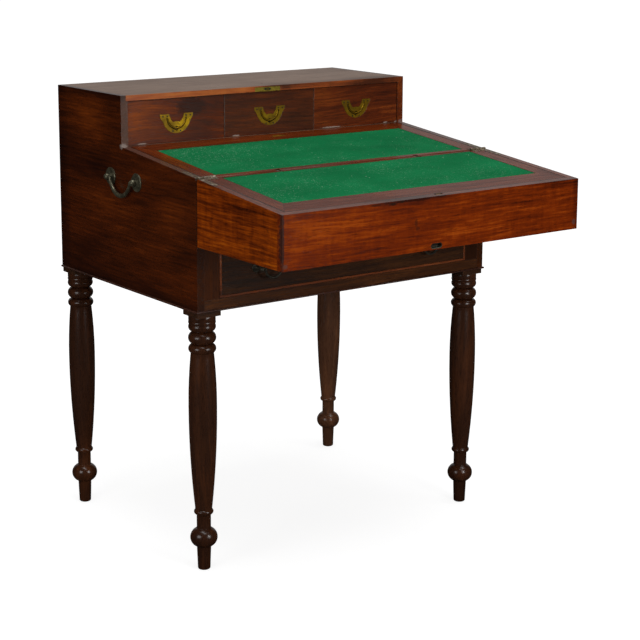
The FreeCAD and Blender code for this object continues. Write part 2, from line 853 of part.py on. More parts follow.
def rear_catch(clearance):
    middle = rear_leaf_end - catch_margin
    half = catch_length / 2 + clearance
    start = middle - catch_width / 2 - clearance
    end = middle + catch_width / 2 + clearance
    low = -leaf_drop - catch_thickness
    return box(catch_offset - half, catch_offset + half, start, end, low, -leaf_drop)


def finger_notch():
    """Notch at the middle of the front rim for lifting the front leaf."""
    half = finger_notch_length / 2
    end = finger_notch_end + leaf_clearance
    notch = box(catch_offset - half, catch_offset + half, front_leaf_end, end, pivot_w, finger_notch_width)
    return tilt(mirror_v(notch))


def make_leaves():
    recess = baize_recess + leaf_drop
    rear = leaf(rear_leaf_end).cut([baize(*rear_baize_span, 0, recess), rear_catch(lock_fit)])
    save("rear_leaf", tilt(rear))
    save("rear_baize", tilt(baize(*rear_baize_span, baize_clearance, baize_thickness)))
    knob_middle = V(catch_offset, rear_leaf_end - catch_margin, -leaf_drop)
    knob = Part.makeCylinder(catch_knob_radius, catch_knob_height, knob_middle)
    save("rear_catch", tilt(rear_catch(0).fuse(knob)))
    front = leaf(front_leaf_end).cut(baize(*front_baize_span, 0, recess))
    save("front_leaf", tilt(mirror_v(front)))
    save("front_baize", tilt(mirror_v(baize(*front_baize_span, baize_clearance, baize_thickness))))
    half = front_catch_length / 2
    end = finger_notch_end + leaf_clearance
    start = end - front_catch_width
    catch = box(catch_offset - half, catch_offset + half, start, end, pivot_w, -leaf_drop)
    save("front_catch", tilt(mirror_v(catch)))


# Skeleton flush handles, drawn round the middle of the handle with the face at y = 0


def handle_outline(clearance, y0, y1):
    """U-shaped plate: square ears with a shoulder, round bottom, and a thumb hump inside."""
    outer = handle_half_width + clearance
    top = handle_ear_top + clearance
    inner = handle_ear_inner - clearance
    bottom = handle_bottom + clearance
    side_foot = V(outer - handle_side_slant, 0, handle_ear_foot)
    shoulder = V(outer - handle_shoulder_step, 0, handle_shoulder_height)
    other_shoulder = V(-shoulder.x, 0, handle_shoulder_height)
    dip_x = inner * handle_dip_share
    dip = V(dip_x, 0, handle_dip_height + clearance)
    other_dip = V(-dip_x, 0, handle_dip_height + clearance)
    hump = V(0, 0, handle_hump_height + clearance)
    hollow = V(inner * handle_hollow_share, 0, handle_hollow_height + clearance)
    right = [
        Part.LineSegment(V(inner, 0, top), V(outer, 0, top)),
        Part.LineSegment(V(outer, 0, top), side_foot),
        Part.LineSegment(side_foot, shoulder),
        Part.Arc(dip, hollow, V(inner, 0, top)),
    ]
    middle = [Part.Arc(shoulder, V(0, 0, -bottom), other_shoulder), Part.Arc(other_dip, hump, dip)]
    mirrored = FreeCAD.Matrix()
    mirrored.scale(-1, 1, 1)
    edges = [piece.toShape() for piece in right]
    others = [edge.transformGeometry(mirrored) for edge in edges]
    wire = Part.Wire(Part.sortEdges(edges + others + [piece.toShape() for piece in middle])[0])
    return shifted(Part.Face(wire).extrude(V(0, y1 - y0, 0)), 0, y0, 0)


def handle_plate():
    """Plate with a round channel for the bail, bores for its pins and a hollow for the finger."""
    plate = handle_outline(0, 0, handle_plate_thickness)
    half = handle_channel_half
    depth = handle_channel_depth
    centre = V(0, 0, handle_pivot_height + handle_bow_rise)
    reach = handle_bail_radius + half
    outer = Part.makeCylinder(reach, depth, centre, V(0, 1, 0))
    core = Part.makeCylinder(handle_bail_radius - half, depth, centre, V(0, 1, 0))
    lower = box(-reach, reach, 0, depth, -handle_bottom, handle_pivot_height + half)
    lowest = centre - V(0, 0, handle_bail_radius)
    scoop = Part.makeCylinder(handle_scoop_radius, depth, lowest, V(0, 1, 0))
    cuts = [outer.cut(core).common(lower), scoop]
    for side in (-1, 1):
        start = V(side * handle_pivot_x, handle_axis_depth, handle_pivot_height)
        end = start + V(side * (handle_pin_reach + handle_channel_clearance), 0, 0)
        cuts.append(rod(handle_pin_radius + handle_pin_clearance, start, end))
    return plate.cut(cuts)


def hanging_bail(pivot, rise, radius, bar_radius, pin_radius, pin_reach):
    """Bow of a ring whose centre lies a rise above the pivot line, with a pin out from each end."""
    pivot_x = math.sqrt(radius**2 - rise**2)
    ring = Part.makeTorus(radius, bar_radius, pivot + V(0, 0, rise), V(0, 1, 0))
    across = 2 * pivot_x
    under = pivot.z - 2 * radius
    outline = [
        (0, pivot.z + rise),
        (across, pivot.z - rise),
        (across, under),
        (-across, under),
        (-across, pivot.z - rise),
    ]
    bail = ring.common(prism_y(outline, pivot.y - bar_radius, pivot.y + bar_radius))
    for side in (-1, 1):
        end = pivot + V(side * pivot_x, 0, 0)
        tip = end + V(side * pin_reach, 0, 0)
        bail = bail.fuse([Part.makeSphere(bar_radius, end), rod(pin_radius, end, tip)])
    return bail


def handle_bail():
    pivot = V(0, handle_axis_depth, handle_pivot_height)
    sizes = (handle_bail_radius, handle_bar_radius, handle_pin_radius, handle_pin_reach)
    return hanging_bail(pivot, handle_bow_rise, *sizes)


# Turned posts and drop handles


def boss(plate_radius, edge, neck_radius, neck_height, ball_radius, standoff, bore_radius):
    """Round backplate with an ogee boss and a ball bored along Y, turned on the Z axis."""
    rim = (plate_radius, edge)
    dome = (plate_radius - edge, 2 * edge)
    neck = (neck_radius, neck_height)
    hollow_radius = neck[0] + boss_hollow_run * (dome[0] - neck[0])
    hollow = (hollow_radius, dome[1] + boss_hollow_rise * (neck[1] - dome[1]))
    foot = (neck_radius, standoff - math.sqrt(ball_radius**2 - neck_radius**2))
    tip = (0, standoff + ball_radius)
    side = (ball_radius, standoff)
    edges = [
        line_to((0, 0), (plate_radius, 0)),
        line_to((plate_radius, 0), rim),
        line_to(rim, dome),
        arc_through(dome, hollow, neck),
        line_to(neck, foot),
        arc_through(foot, side, tip),
        line_to(tip, (0, 0)),
    ]
    turned = Part.Face(Part.Wire(edges)).revolve(V(0, 0, 0), V(0, 0, 1), 360)
    reach = V(0, ball_radius, 0)
    middle = V(0, 0, standoff)
    return turned.cut(rod(bore_radius, middle - reach, middle + reach))


def drop_post(board_thickness):
    """Post of a drop handle on a front face at y = 0, with its shank through the board."""
    bore = drop_pin_radius + drop_pin_clearance
    plate = (drop_plate_radius, drop_plate_edge)
    neck = (drop_neck_radius, drop_neck_height)
    post = boss(*plate, *neck, drop_ball_radius, drop_standoff, bore)
    length = board_thickness + drop_nut_thickness + drop_shank_end
    post = post.fuse(Part.makeCylinder(drop_shank_radius, length, V(0, 0, -length)))
    post.rotate(V(0, 0, 0), V(0, 0, 1), 90)
    post.rotate(V(0, 0, 0), V(1, 0, 0), 90)
    return post


def drop_bail():
    pivot = V(0, -drop_standoff, 0)
    pin_reach = drop_bar_radius + drop_arm_gap + 2 * drop_ball_radius
    return hanging_bail(pivot, 0, drop_bail_radius, drop_bar_radius, drop_pin_radius, pin_reach)


# Drawers


def drawer_box(x0, x1, y0, y1, z0, side_thickness, side_height, bottom_thickness):
    """Two sides, a back and a bottom held in grooves, behind a front whose rear face is at y0."""
    bottom_z = z0 + bottom_rise
    left = box(x0, x0 + side_thickness, y0, y1, z0, z0 + side_height)
    right = box(x1 - side_thickness, x1, y0, y1, z0, z0 + side_height)
    over = bottom_z + bottom_thickness
    back = box(x0 + side_thickness, x1 - side_thickness, y1 - side_thickness, y1, over, z0 + side_height)
    reach = side_thickness - groove_depth
    bottom = box(x0 + reach, x1 - reach, y0, y1, bottom_z, over)
    return [left.cut(bottom), right.cut(bottom), back, bottom]


def small_drawer(name, middle, left_lap, right_lap):
    """Drawer whose front laps over the dividers beside it."""
    half = small_pitch / 2 - drawer_clearance
    z0 = slope_top + drawer_clearance
    z1 = top_underside - drawer_clearance
    y0 = upper_front_y + small_front_recess
    y1 = small_front_back_y
    x0 = middle - half
    x1 = middle + half
    handle_z = (z0 + z1) / 2 - small_handle_drop
    seat = handle_outline(handle_inlay_clearance, 0, handle_plate_thickness)
    front = box(x0, x1, y0, y1, z0, z1).cut(shifted(seat, middle, y0, handle_z))
    save(name + "_front", front)
    sizes = (small_side_thickness, small_side_height, small_bottom_thickness)
    parts = drawer_box(x0 + left_lap, x1 - right_lap, y1, y0 + small_drawer_depth, z0, *sizes)
    save(name + "_box", *parts)
    save(name + "_handle", shifted(handle_plate(), middle, y0, handle_z))
    save(name + "_bail", shifted(handle_bail(), middle, y0, handle_z))


def make_small_drawers():
    lap = divider_thickness / 2
    small_drawer("drawer_left", -small_pitch, 0, lap)
    small_drawer("drawer_centre", 0, lap, lap)
    small_drawer("drawer_right", small_pitch, lap, 0)


def cockbead(half, z0, z1):
    """Four strips, mitred at the corners and rounded over, that frame the long drawer's front."""
    width = cockbead_width
    start = front_y - cockbead_projection
    end = front_y + cockbead_depth
    frame = box(-half, half, start, end, z0, z1)
    frame = frame.cut(box(-half + width, half - width, start, end, z0 + width, z1 - width))
    nose_edges = [edge for edge in frame.Edges if edge.BoundBox.YMax < (start + front_y) / 2]
    frame = frame.makeFillet(cockbead_nose, nose_edges)
    reach = (z1 - z0) / 2
    middle = (z0 + z1) / 2
    end_keep = prism_y([(half, z1), (half, z0), (half - reach, middle)], start, end)
    right = frame.common(end_keep)
    return [mirror_x(right), right, *frame.cut([end_keep, mirror_x(end_keep)]).Solids]


def make_long_drawer():
    half = opening_x - drawer_clearance
    z0 = opening_bottom + drawer_clearance
    z1 = opening_top - drawer_clearance
    y1 = front_y + long_front_thickness
    width = cockbead_width
    core = box(-half + width, half - width, front_y, y1, z0 + width, z1 - width)
    rear = box(-half, half, front_y + cockbead_depth, y1, z0, z1)
    front = core.fuse(rear).removeSplitter()
    save("long_drawer_bead", *cockbead(half, z0, z1))
    handle_z = (z0 + z1) / 2
    middles = (-drop_offset, drop_offset)
    posts = [V(x + side * drop_post_offset, front_y, handle_z) for x in middles for side in (-1, 1)]
    hole_radius = drop_shank_radius + drop_shank_clearance
    along = V(0, long_front_thickness + drop_nut_thickness, 0)
    holes = [rod(hole_radius, place, place + along) for place in posts]
    save("long_drawer_front", front.cut(holes))
    sizes = (long_side_thickness, long_side_height, long_bottom_thickness)
    save("long_drawer_box", *drawer_box(-half, half, y1, front_y + long_drawer_depth, z0, *sizes))
    post = drop_post(long_front_thickness)
    save("long_drawer_handles", *[shifted(post, *place) for place in posts])
    reach = drop_nut_width / 2
    nut_y = y1 + drop_nut_thickness
    nuts = [box(p.x - reach, p.x + reach, y1, nut_y, p.z - reach, p.z + reach).cut(holes) for p in posts]
    save("long_drawer_nuts", *nuts)
    save("long_drawer_bail_left", shifted(drop_bail(), -drop_offset, front_y, handle_z))
    save("long_drawer_bail_right", shifted(drop_bail(), drop_offset, front_y, handle_z))


# Carrying handles, drawn for the left side


def carry_plate():
    bore = carry_pin_radius + carry_pin_clearance
    plate = (carry_plate_radius, carry_plate_edge)
    neck = (carry_neck_radius, carry_neck_height)
    turned = boss(*plate, *neck, carry_ball_radius, carry_standoff, bore)
    turned.rotate(V(0, 0, 0), V(0, 1, 0), -90)
    return turned


def carry_bail():
    """Bail in its own plane: pins through the balls, short arms, and a shallow bow thickest at the grip."""
    arm_y = carry_spacing / 2 - carry_ball_radius - carry_arm_gap - carry_bend_radius
    pin_y = carry_spacing / 2 + carry_ball_radius
    bend = carry_bend_radius
    corner = bend * (1 - math.sqrt(0.5))
    arm_foot = -bend
    middle = V(0, 0, -carry_drop)
    left_arc = Part.Arc(V(0, -arm_y - bend, 0), V(0, -arm_y - corner, -corner), V(0, -arm_y, arm_foot))
    right_arc = Part.Arc(V(0, arm_y, arm_foot), V(0, arm_y + corner, -corner), V(0, arm_y + bend, 0))
    bow = Part.Arc(V(0, -arm_y, arm_foot), middle, V(0, arm_y, arm_foot)).toShape()
    path = Part.Wire([bow])
    shell = Part.BRepOffsetAPI.MakePipeShell(path)
    start = bow.tangentAt(bow.FirstParameter)
    end = bow.tangentAt(bow.LastParameter)
    sections = (
        (V(0, -arm_y, arm_foot), start, carry_end_radius),
        (middle, V(0, 1, 0), carry_grip_radius),
        (V(0, arm_y, arm_foot), end, carry_end_radius),
    )
    for point, direction, radius in sections:
        shell.add(Part.Wire(Part.makeCircle(radius, point, direction)))
    shell.build()
    shell.makeSolid()
    pieces = [shell.shape()]
    for arc, side in ((left_arc, -1), (right_arc, 1)):
        edge = arc.toShape()
        first = edge.FirstParameter
        profile = Part.Wire(Part.makeCircle(carry_end_radius, edge.valueAt(first), edge.tangentAt(first)))
        pieces.append(Part.Wire([edge]).makePipeShell([profile], True, False))
        pieces.append(Part.makeSphere(carry_end_radius, V(0, side * arm_y, arm_foot)))
        pieces.append(rod(carry_pin_radius, V(0, side * (arm_y + bend), 0), V(0, side * pin_y, 0)))
    return pieces[0].fuse(pieces[1:])


def make_carry_handles():
    x = -half_width
    middle = (front_y + back_y) / 2
    plate = carry_plate()
    left = [shifted(plate, x, middle + side * carry_spacing / 2, carry_height) for side in (-1, 1)]
    save("carry_plates", *left, *[mirror_x(shape) for shape in left])
    bail = shifted(carry_bail(), x - carry_standoff, middle, carry_height)
    right_bail = bail.copy()  # its ends are alike, so it can be turned round and needs no mirroring
    right_bail.rotate(V(0, middle, 0), V(0, 0, 1), 180)
    save("carry_bail_left", bail)
    save("carry_bail_right", right_bail)


os.makedirs("parts", exist_ok=True)
make_case_sides()
make_top_board()
make_case_boards()
make_front()
make_base_bead()
make_legs()
make_lock()
make_strike()
make_fold_hinges()
make_leaf_pivots()
make_flap()
make_leaves()
make_small_drawers()
make_long_drawer()
make_carry_handles()
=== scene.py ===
import bpy
import itertools
import json
import math
import random
from mathutils import Matrix, Vector


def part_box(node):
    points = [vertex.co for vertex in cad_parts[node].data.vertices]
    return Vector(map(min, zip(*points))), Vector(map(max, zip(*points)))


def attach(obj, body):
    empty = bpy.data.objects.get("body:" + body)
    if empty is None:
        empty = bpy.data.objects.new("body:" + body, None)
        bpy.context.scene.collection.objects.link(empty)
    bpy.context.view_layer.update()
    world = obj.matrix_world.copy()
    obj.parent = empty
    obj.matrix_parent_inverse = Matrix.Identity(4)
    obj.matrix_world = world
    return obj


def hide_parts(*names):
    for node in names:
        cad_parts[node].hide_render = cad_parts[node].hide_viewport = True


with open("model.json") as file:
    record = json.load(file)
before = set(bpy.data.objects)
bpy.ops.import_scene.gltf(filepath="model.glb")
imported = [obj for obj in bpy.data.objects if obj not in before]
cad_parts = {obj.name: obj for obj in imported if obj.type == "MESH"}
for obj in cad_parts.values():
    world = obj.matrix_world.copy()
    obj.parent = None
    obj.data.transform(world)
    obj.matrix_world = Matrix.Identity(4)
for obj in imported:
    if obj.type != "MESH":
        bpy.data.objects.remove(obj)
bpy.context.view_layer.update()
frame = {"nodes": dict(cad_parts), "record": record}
nodes = frame["nodes"]
random.seed(11)

# Sizes of the desk in metres, the same as in the part's source
case_width = 0.712
side_thickness = 0.0155
slope_rise = 0.028
slope_run = 0.272
fold_gap = 0.002
leaf_drop = 0.0003
leaf_clearance = 0.0008
side_border = 0.034
rear_border_at_drawers = 0.047
front_border_at_edge = 0.052
baize_recess = 0.0012
baize_clearance = 0.0003
baize_thickness = 0.0011
hinge_margin = 0.0015
strap_width = 0.012

half_width = case_width / 2
slope_angle = math.atan2(slope_rise, slope_run)
slope_sine = math.sin(slope_angle)
slope_cosine = math.cos(slope_angle)
front_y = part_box("front_rail")[0].y
back_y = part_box("case_back")[1].y
slope_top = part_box("drawer_deck")[1].z
fold_height = slope_top - slope_rise
fold_y = front_y - fold_gap / 2
fold_z = fold_height - fold_gap / 2 * slope_rise / slope_run
leaf_half_width = half_width - side_thickness - leaf_clearance


def on_slope(x, v, w):
    """A point given across, up the slope from the fold, and out of the rims' plane."""
    y = fold_y + v * slope_cosine - w * slope_sine
    z = fold_z + v * slope_sine + w * slope_cosine
    return Vector((x, y, z))


def middle_mm(name):
    """Middle of a piece's box, in millimetres."""
    low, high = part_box(name)
    return [(a + b) * 500 for a, b in zip(low, high)]


# Small helpers for shader nodes


class Shader:
    """A material's nodes, with short ways to make and join them."""

    def __init__(self, name):
        self.material = bpy.data.materials.new(name)
        self.material.use_nodes = True
        self.tree = self.material.node_tree
        self.surface = self.tree.nodes["Principled BSDF"]
        coordinates = self.make("ShaderNodeTexCoord")
        self.straight = coordinates.outputs["Object"]
        self.normal = coordinates.outputs["Normal"]
        self.place = self.straight

    def make(self, kind, **settings):
        node = self.tree.nodes.new(kind)
        for key, value in settings.items():
            setattr(node, key, value)
        return node

    def join(self, source, target):
        self.tree.links.new(source, target)

    def feed(self, node, index, value):
        if hasattr(value, "links"):
            self.join(value, node.inputs[index])
        else:
            node.inputs[index].default_value = value

    def maths(self, operation, a, b=0.0, c=0.0):
        node = self.make("ShaderNodeMath", operation=operation)
        self.feed(node, 0, a)
        self.feed(node, 1, b)
        self.feed(node, 2, c)
        return node.outputs[0]

    def vector(self, operation, *parts):
        """Outputs of a sum with vectors, which are sockets or plain numbers."""
        node = self.make("ShaderNodeVectorMath", operation=operation)
        for index, part in enumerate(parts):
            self.feed(node, index, part)
        return node.outputs

    def warp(self, scale, amount):
        """Bends the coordinates that come after by a low noise, as grain wanders."""
        node = self.make("ShaderNodeTexNoise")
        self.join(self.straight, node.inputs["Vector"])
        node.inputs["Scale"].default_value = scale
        node.inputs["Detail"].default_value = 1.0
        centred = self.vector("SUBTRACT", node.outputs["Color"], (0.5, 0.5, 0.5))[0]
        self.place = self.vector("MULTIPLY_ADD", centred, amount, self.place)[0]

    def spot(self, place, reach):
        """1 at a place, falling to 0 at its reach along each axis, both in millimetres."""
        offset = self.vector("SUBTRACT", self.straight, tuple(v / 1000 for v in place))[0]
        share = self.vector("DIVIDE", offset, tuple(v / 1000 for v in reach))[0]
        return self.ramp(self.vector("LENGTH", share)["Value"], 0.0, 1.0, 1.0, 0.0)

    def facing(self, axis, sign):
        """1 on faces that look along an axis."""
        part = self.split(self.normal)[axis]
        return self.ramp(self.maths("MULTIPLY", part, sign), 0.72, 0.86)

    def scaled(self, scale, shift=(0, 0, 0)):
        """The bent coordinates, scaled along each axis and shifted."""
        node = self.make("ShaderNodeMapping")
        self.join(self.place, node.inputs["Vector"])
        node.inputs["Scale"].default_value = scale
        node.inputs["Location"].default_value = shift
        return node.outputs[0]

    def even(self, scale):
        return self.scaled((scale, scale, scale))

    def noise(self, vector, detail, rough=0.55, warp=0.0):
        node = self.make("ShaderNodeTexNoise")
        self.join(vector, node.inputs["Vector"])
        for key, value in (("Scale", 1.0), ("Detail", detail), ("Roughness", rough), ("Distortion", warp)):
            node.inputs[key].default_value = value
        return node.outputs["Fac"]

    def cells(self, vector):
        """Distance to the nearest of scattered points."""
        node = self.make("ShaderNodeTexVoronoi")
        self.join(vector, node.inputs["Vector"])
        node.inputs["Scale"].default_value = 1.0
        return node.outputs["Distance"]

    def ramp(self, factor, low, high, start=0.0, end=1.0):
        """Straight change from one number to another, held at both ends."""
        node = self.make("ShaderNodeMapRange")
        self.feed(node, 0, factor)
        for index, value in ((1, low), (2, high), (3, start), (4, end)):
            node.inputs[index].default_value = value
        return node.outputs[0]

    def tones(self, factor, stops):
        """Colour of a number between stops, which are (position, colour)."""
        node = self.make("ShaderNodeValToRGB")
        self.feed(node, 0, factor)
        band = node.color_ramp
        while len(band.elements) < len(stops):
            band.elements.new(0.5)
        for element, (position, colour) in zip(band.elements, stops):
            element.position = position
            element.color = (*colour, 1)
        return node.outputs[0]

    def blend(self, factor, a, b):
        node = self.make("ShaderNodeMix", data_type="RGBA")
        self.feed(node, 0, factor)
        for socket, value in ((node.inputs[6], a), (node.inputs[7], b)):
            if hasattr(value, "links"):
                self.join(value, socket)
            else:
                socket.default_value = (*value, 1)
        return node.outputs[2]

    def split(self, vector):
        node = self.make("ShaderNodeSeparateXYZ")
        self.join(vector, node.inputs[0])
        return node.outputs

    def edge(self, radius):
        """1 near sharp edges, 0 on flat faces."""
        bevel = self.make("ShaderNodeBevel", samples=4)
        bevel.inputs["Radius"].default_value = radius
        normal = self.make("ShaderNodeNewGeometry").outputs["Normal"]
        alike = self.vector("DOT_PRODUCT", bevel.outputs[0], normal)["Value"]
        return self.ramp(self.maths("SUBTRACT", 1.0, alike), 0.0, 0.25)

    def bump(self, height, distance, strength):
        node = self.make("ShaderNodeBump")
        node.inputs["Distance"].default_value = distance
        node.inputs["Strength"].default_value = strength
        self.join(height, node.inputs["Height"])
        self.join(node.outputs[0], self.surface.inputs["Normal"])

    def set(self, **values):
        """Sets or feeds sockets of the surface, named in small letters with underscores."""
        for key, value in values.items():
            self.feed(self.surface, key.replace("_", " ").title().replace("Ior", "IOR"), value)


WORN_GREY = (0.105, 0.055, 0.044)
SEAM_AND_GAP_SHADE = (0.006, 0.0022, 0.0012)
RUBBED_DARK = (0.030, 0.0110, 0.0070)
PORE_DARK = (0.010, 0.0022, 0.0007)


def wood(name, grain, stops, cloud=0.4, figure=0.35, fine=0.35, pores=0.5, ribbon=0.0, shift=0.0,
         lifts=(), marks=(), faces=(), mitre=None, rough=(0.20, 0.34), coat=0.0,
         edge_tone=WORN_GREY, edge_share=0.5, edge_radius=0.0018, wander=(0.05, 0.02, 0.03),
         shine=0.4, relief=0.5):
    """Old polished mahogany: clouds, streaks and pores along the grain, with stains, rubbed edges and wear,
    and some painted highlights and shade.

    lifts are (place, reach, amount) in millimetres and lighten or darken the wood; marks are
    (place, reach, tone, strength) and are broken up by noise; faces are (axis, sign, stops, share, lowest)
    and give other tones to faces that look along an axis and lie above a height in metres; mitre is where
    a leaf's long border begins, its width and the direction inwards, in metres.
    """
    s = Shader(name)
    s.warp(3.1, wander)
    x, y, z = s.split(s.straight)
    if mitre:
        end_y, end_width, direction = mitre
        from_side = s.maths("SUBTRACT", leaf_half_width, s.maths("ABSOLUTE", x))
        from_end = s.maths("MULTIPLY", s.maths("SUBTRACT", y, end_y), direction)
        lean = s.maths("SUBTRACT", s.maths("DIVIDE", from_end, end_width),
                       s.maths("DIVIDE", from_side, side_border))
        past_border = side_border * 1.1  # takes in the wall of the recess too
        turned = s.maths("MULTIPLY", s.maths("GREATER_THAN", lean, 0.0),
                         s.maths("LESS_THAN", from_side, past_border))
        u, v, w = s.split(s.place)
        swapped = s.make("ShaderNodeCombineXYZ")
        for index, part in enumerate((v, u, w)):
            s.join(part, swapped.inputs[index])
        chosen = s.make("ShaderNodeMix", data_type="VECTOR")
        s.join(turned, chosen.inputs[0])
        s.join(s.place, chosen.inputs[4])
        s.join(swapped.outputs[0], chosen.inputs[5])
        s.place = chosen.outputs[1]
    order = "xyz".index(grain)

    def stretched(along, across):
        return s.scaled(tuple(along if i == order else across for i in range(3)),
                        shift=(shift, shift * 0.7, shift * 1.3))

    clouds = s.ramp(s.noise(stretched(3.2, 9), 4.0, 0.6, 0.4), 0.3, 0.7)
    streaks = s.ramp(s.noise(stretched(6.5, 85), 4.0, 0.6, 0.4), 0.3, 0.7)
    threads = s.ramp(s.noise(stretched(11, 250), 3.0, 0.6, 0.2), 0.3, 0.7)
    dashes = s.ramp(s.noise(stretched(70, 900), 2.0, 0.5), 0.56, 0.68)
    layers = [(clouds, cloud), (streaks, figure), (threads, fine)]
    if ribbon:
        cross = s.ramp(s.noise(stretched(60, 18), 3.0, 0.6, 0.6), 0.34, 0.68)
        layers.append((cross, ribbon))
    mix = 0.5
    for layer, share in layers:
        mix = s.maths("MULTIPLY_ADD", s.maths("SUBTRACT", layer, 0.5), share, mix)
    for place, reach, amount in lifts:
        mix = s.maths("MULTIPLY_ADD", s.spot(place, reach), amount, mix)
    colour = s.tones(mix, stops)
    colour = s.blend(s.maths("MULTIPLY", dashes, pores), colour, PORE_DARK)
    for axis, sign, other, share, lowest in faces:
        above = s.ramp(z, lowest, lowest + 0.001, 0.0, share)
        mask = s.maths("MULTIPLY", s.facing(axis, sign), above)
        colour = s.blend(mask, colour, s.tones(mix, other))
    crumbs = s.noise(s.even(170), 4.0, 0.65)
    for place, reach, tone, strength in marks:
        broken = s.ramp(s.maths("MULTIPLY_ADD", crumbs, 0.9, s.spot(place, reach)), 0.72, 1.02)
        colour = s.blend(s.maths("MULTIPLY", broken, strength), colour, tone)
    if mitre:  # a dark seam on the mitre, and a dark line where the leaf meets the rims
        seam = s.ramp(s.maths("ABSOLUTE", lean), 0.0, 0.03, 0.75, 0.0)
        on_border = s.maths("LESS_THAN", from_side, side_border)
        colour = s.blend(s.maths("MULTIPLY", seam, on_border), colour, SEAM_AND_GAP_SHADE)
        # painted shade: a dark line along the gap where the leaf meets the rims
        to_rim = s.maths("MINIMUM", from_side, from_end)
        colour = s.blend(s.ramp(to_rim, 0.0016, 0.0038, 0.92, 0.0), colour, SEAM_AND_GAP_SHADE)
    # Edges take the edge tone in patches: rubbed wear on most pieces, painted shade along the gaps on the
    # leaves
    patchy = s.ramp(s.noise(s.even(38), 3.0), 0.3, 0.62, 0.3, 1.0)
    worn = s.maths("MULTIPLY", s.edge(edge_radius), patchy)
    colour = s.blend(s.maths("MULTIPLY", worn, edge_share), colour, edge_tone)
    s.set(base_color=colour, roughness=s.ramp(mix, 0.2, 0.8, rough[1], rough[0]))
    s.set(coat_weight=coat, coat_roughness=0.2, specular_ior_level=shine)
    s.bump(s.maths("MULTIPLY_ADD", dashes, -0.6, s.maths("MULTIPLY", crumbs, 0.5)), 0.00012, relief)
    return s


materials = {}


def dress(shader, *names):
    for name in names:
        materials[name] = shader.material


# Mahogany, piece by piece
SIDE_STOPS = [(0.10, (0.012, 0.0022, 0.0004)), (0.40, (0.048, 0.0088, 0.0012)),
              (0.62, (0.100, 0.0175, 0.0020)), (0.95, (0.26, 0.050, 0.005))]
RIM_STOPS = [(0.15, (0.030, 0.013, 0.009)), (0.55, (0.075, 0.034, 0.024)), (0.9, (0.13, 0.060, 0.040))]
UPRIGHT_STOPS = [(0.15, (0.040, 0.017, 0.011)), (0.55, (0.105, 0.050, 0.034)),
                 (0.9, (0.17, 0.085, 0.055))]
RED_STOPS = [(0.12, (0.024, 0.0040, 0.0010)), (0.5, (0.115, 0.0200, 0.0042)),
             (0.88, (0.28, 0.060, 0.010))]
STILE_STOPS = [(0.12, (0.016, 0.0040, 0.0010)), (0.5, (0.050, 0.0140, 0.0040)),
               (0.88, (0.12, 0.032, 0.008))]
OUTER_FRONT = (1, -1, STILE_STOPS, 0.9, 0.0)
SLOPING_RIM = (2, 1, RIM_STOPS, 1.0, 0.0)
raised_part = 0.8  # about the height where the raised rear part begins
side_lifts = [
    ((-356, 268, 832), (70, 95, 65), 0.22), ((-356, 205, 687), (70, 150, 70), 0.18),
    ((-356, -35, 692), (70, 80, 75), 0.18), ((-356, -96, 558), (70, 70, 60), 0.08),
    ((-356, 231, 755), (70, 130, 42), -0.16), ((-356, 300, 580), (70, 180, 90), -0.14),
    ((-356, 400, 663), (70, 45, 400), -0.30), ((-356, -69, 607), (70, 50, 40), -0.12),
    ((-356, 270, 900), (70, 700, 16), -0.30), ((-356, 120, 518), (70, 900, 22), -0.26),
]
dress(wood("side_wood", "y", SIDE_STOPS, cloud=0.26, figure=0.17, fine=0.26, shift=2.3, lifts=side_lifts,
           faces=[OUTER_FRONT, SLOPING_RIM, (1, -1, UPRIGHT_STOPS, 0.95, raised_part)],
           marks=[((-352, 143, 802), (14, 12, 9), (0.30, 0.24, 0.21), 0.8)],
           shine=0.32, wander=(0.03, 0.02, 0.012)), "case_side_left")
dress(wood("right_side_wood", "y", SIDE_STOPS, cloud=0.30, figure=0.22, fine=0.30, shift=8.3,
           faces=[OUTER_FRONT, SLOPING_RIM, (1, -1, RED_STOPS, 0.95, raised_part)],
           marks=[((350, 143, 803), (10, 12, 8), (0.22, 0.15, 0.13), 0.8)]), "case_side_right")
dress(wood("divider_wood", "y", SIDE_STOPS, shift=5.2, faces=[(1, -1, RIM_STOPS, 0.8, 0.0)]),
      "drawer_dividers")

TOP_STOPS = [(0.10, (0.062, 0.025, 0.009)), (0.45, (0.118, 0.052, 0.019)), (0.9, (0.19, 0.092, 0.036))]
LIP_STOPS = [(0.10, (0.070, 0.014, 0.0025)), (0.45, (0.33, 0.066, 0.010)), (0.9, (0.62, 0.19, 0.042))]
lip_lifts = [((356, 143, 896), (420, 60, 60), -0.36), ((40, 143, 896), (60, 60, 60), -0.18)]
dress(wood("top_wood", "x", TOP_STOPS, cloud=0.3, figure=0.25, fine=0.25, pores=0.35, shift=1.2,
           rough=(0.26, 0.38), lifts=lip_lifts, ribbon=0.08, faces=[(1, -1, LIP_STOPS, 1.0, 0.0)],
           marks=[((8, 199, 902), (2, 60, 40), (0.05, 0.03, 0.024), 0.5)]), "top_board")

DRAWER_STOPS = [(0.12, (0.020, 0.0046, 0.0019)), (0.5, (0.084, 0.0195, 0.0066)),
                (0.88, (0.20, 0.044, 0.011))]
STAIN = (0.022, 0.0080, 0.0062)
PALE_WEAR = (0.36, 0.29, 0.25)
FOOT_WEAR = [((x, 145, 803.4), (reach, 12, 2.4), PALE_WEAR, 0.85)
             for x, reach in ((-308, 16), (-84, 14), (162, 44), (309, 11), (338, 7))]
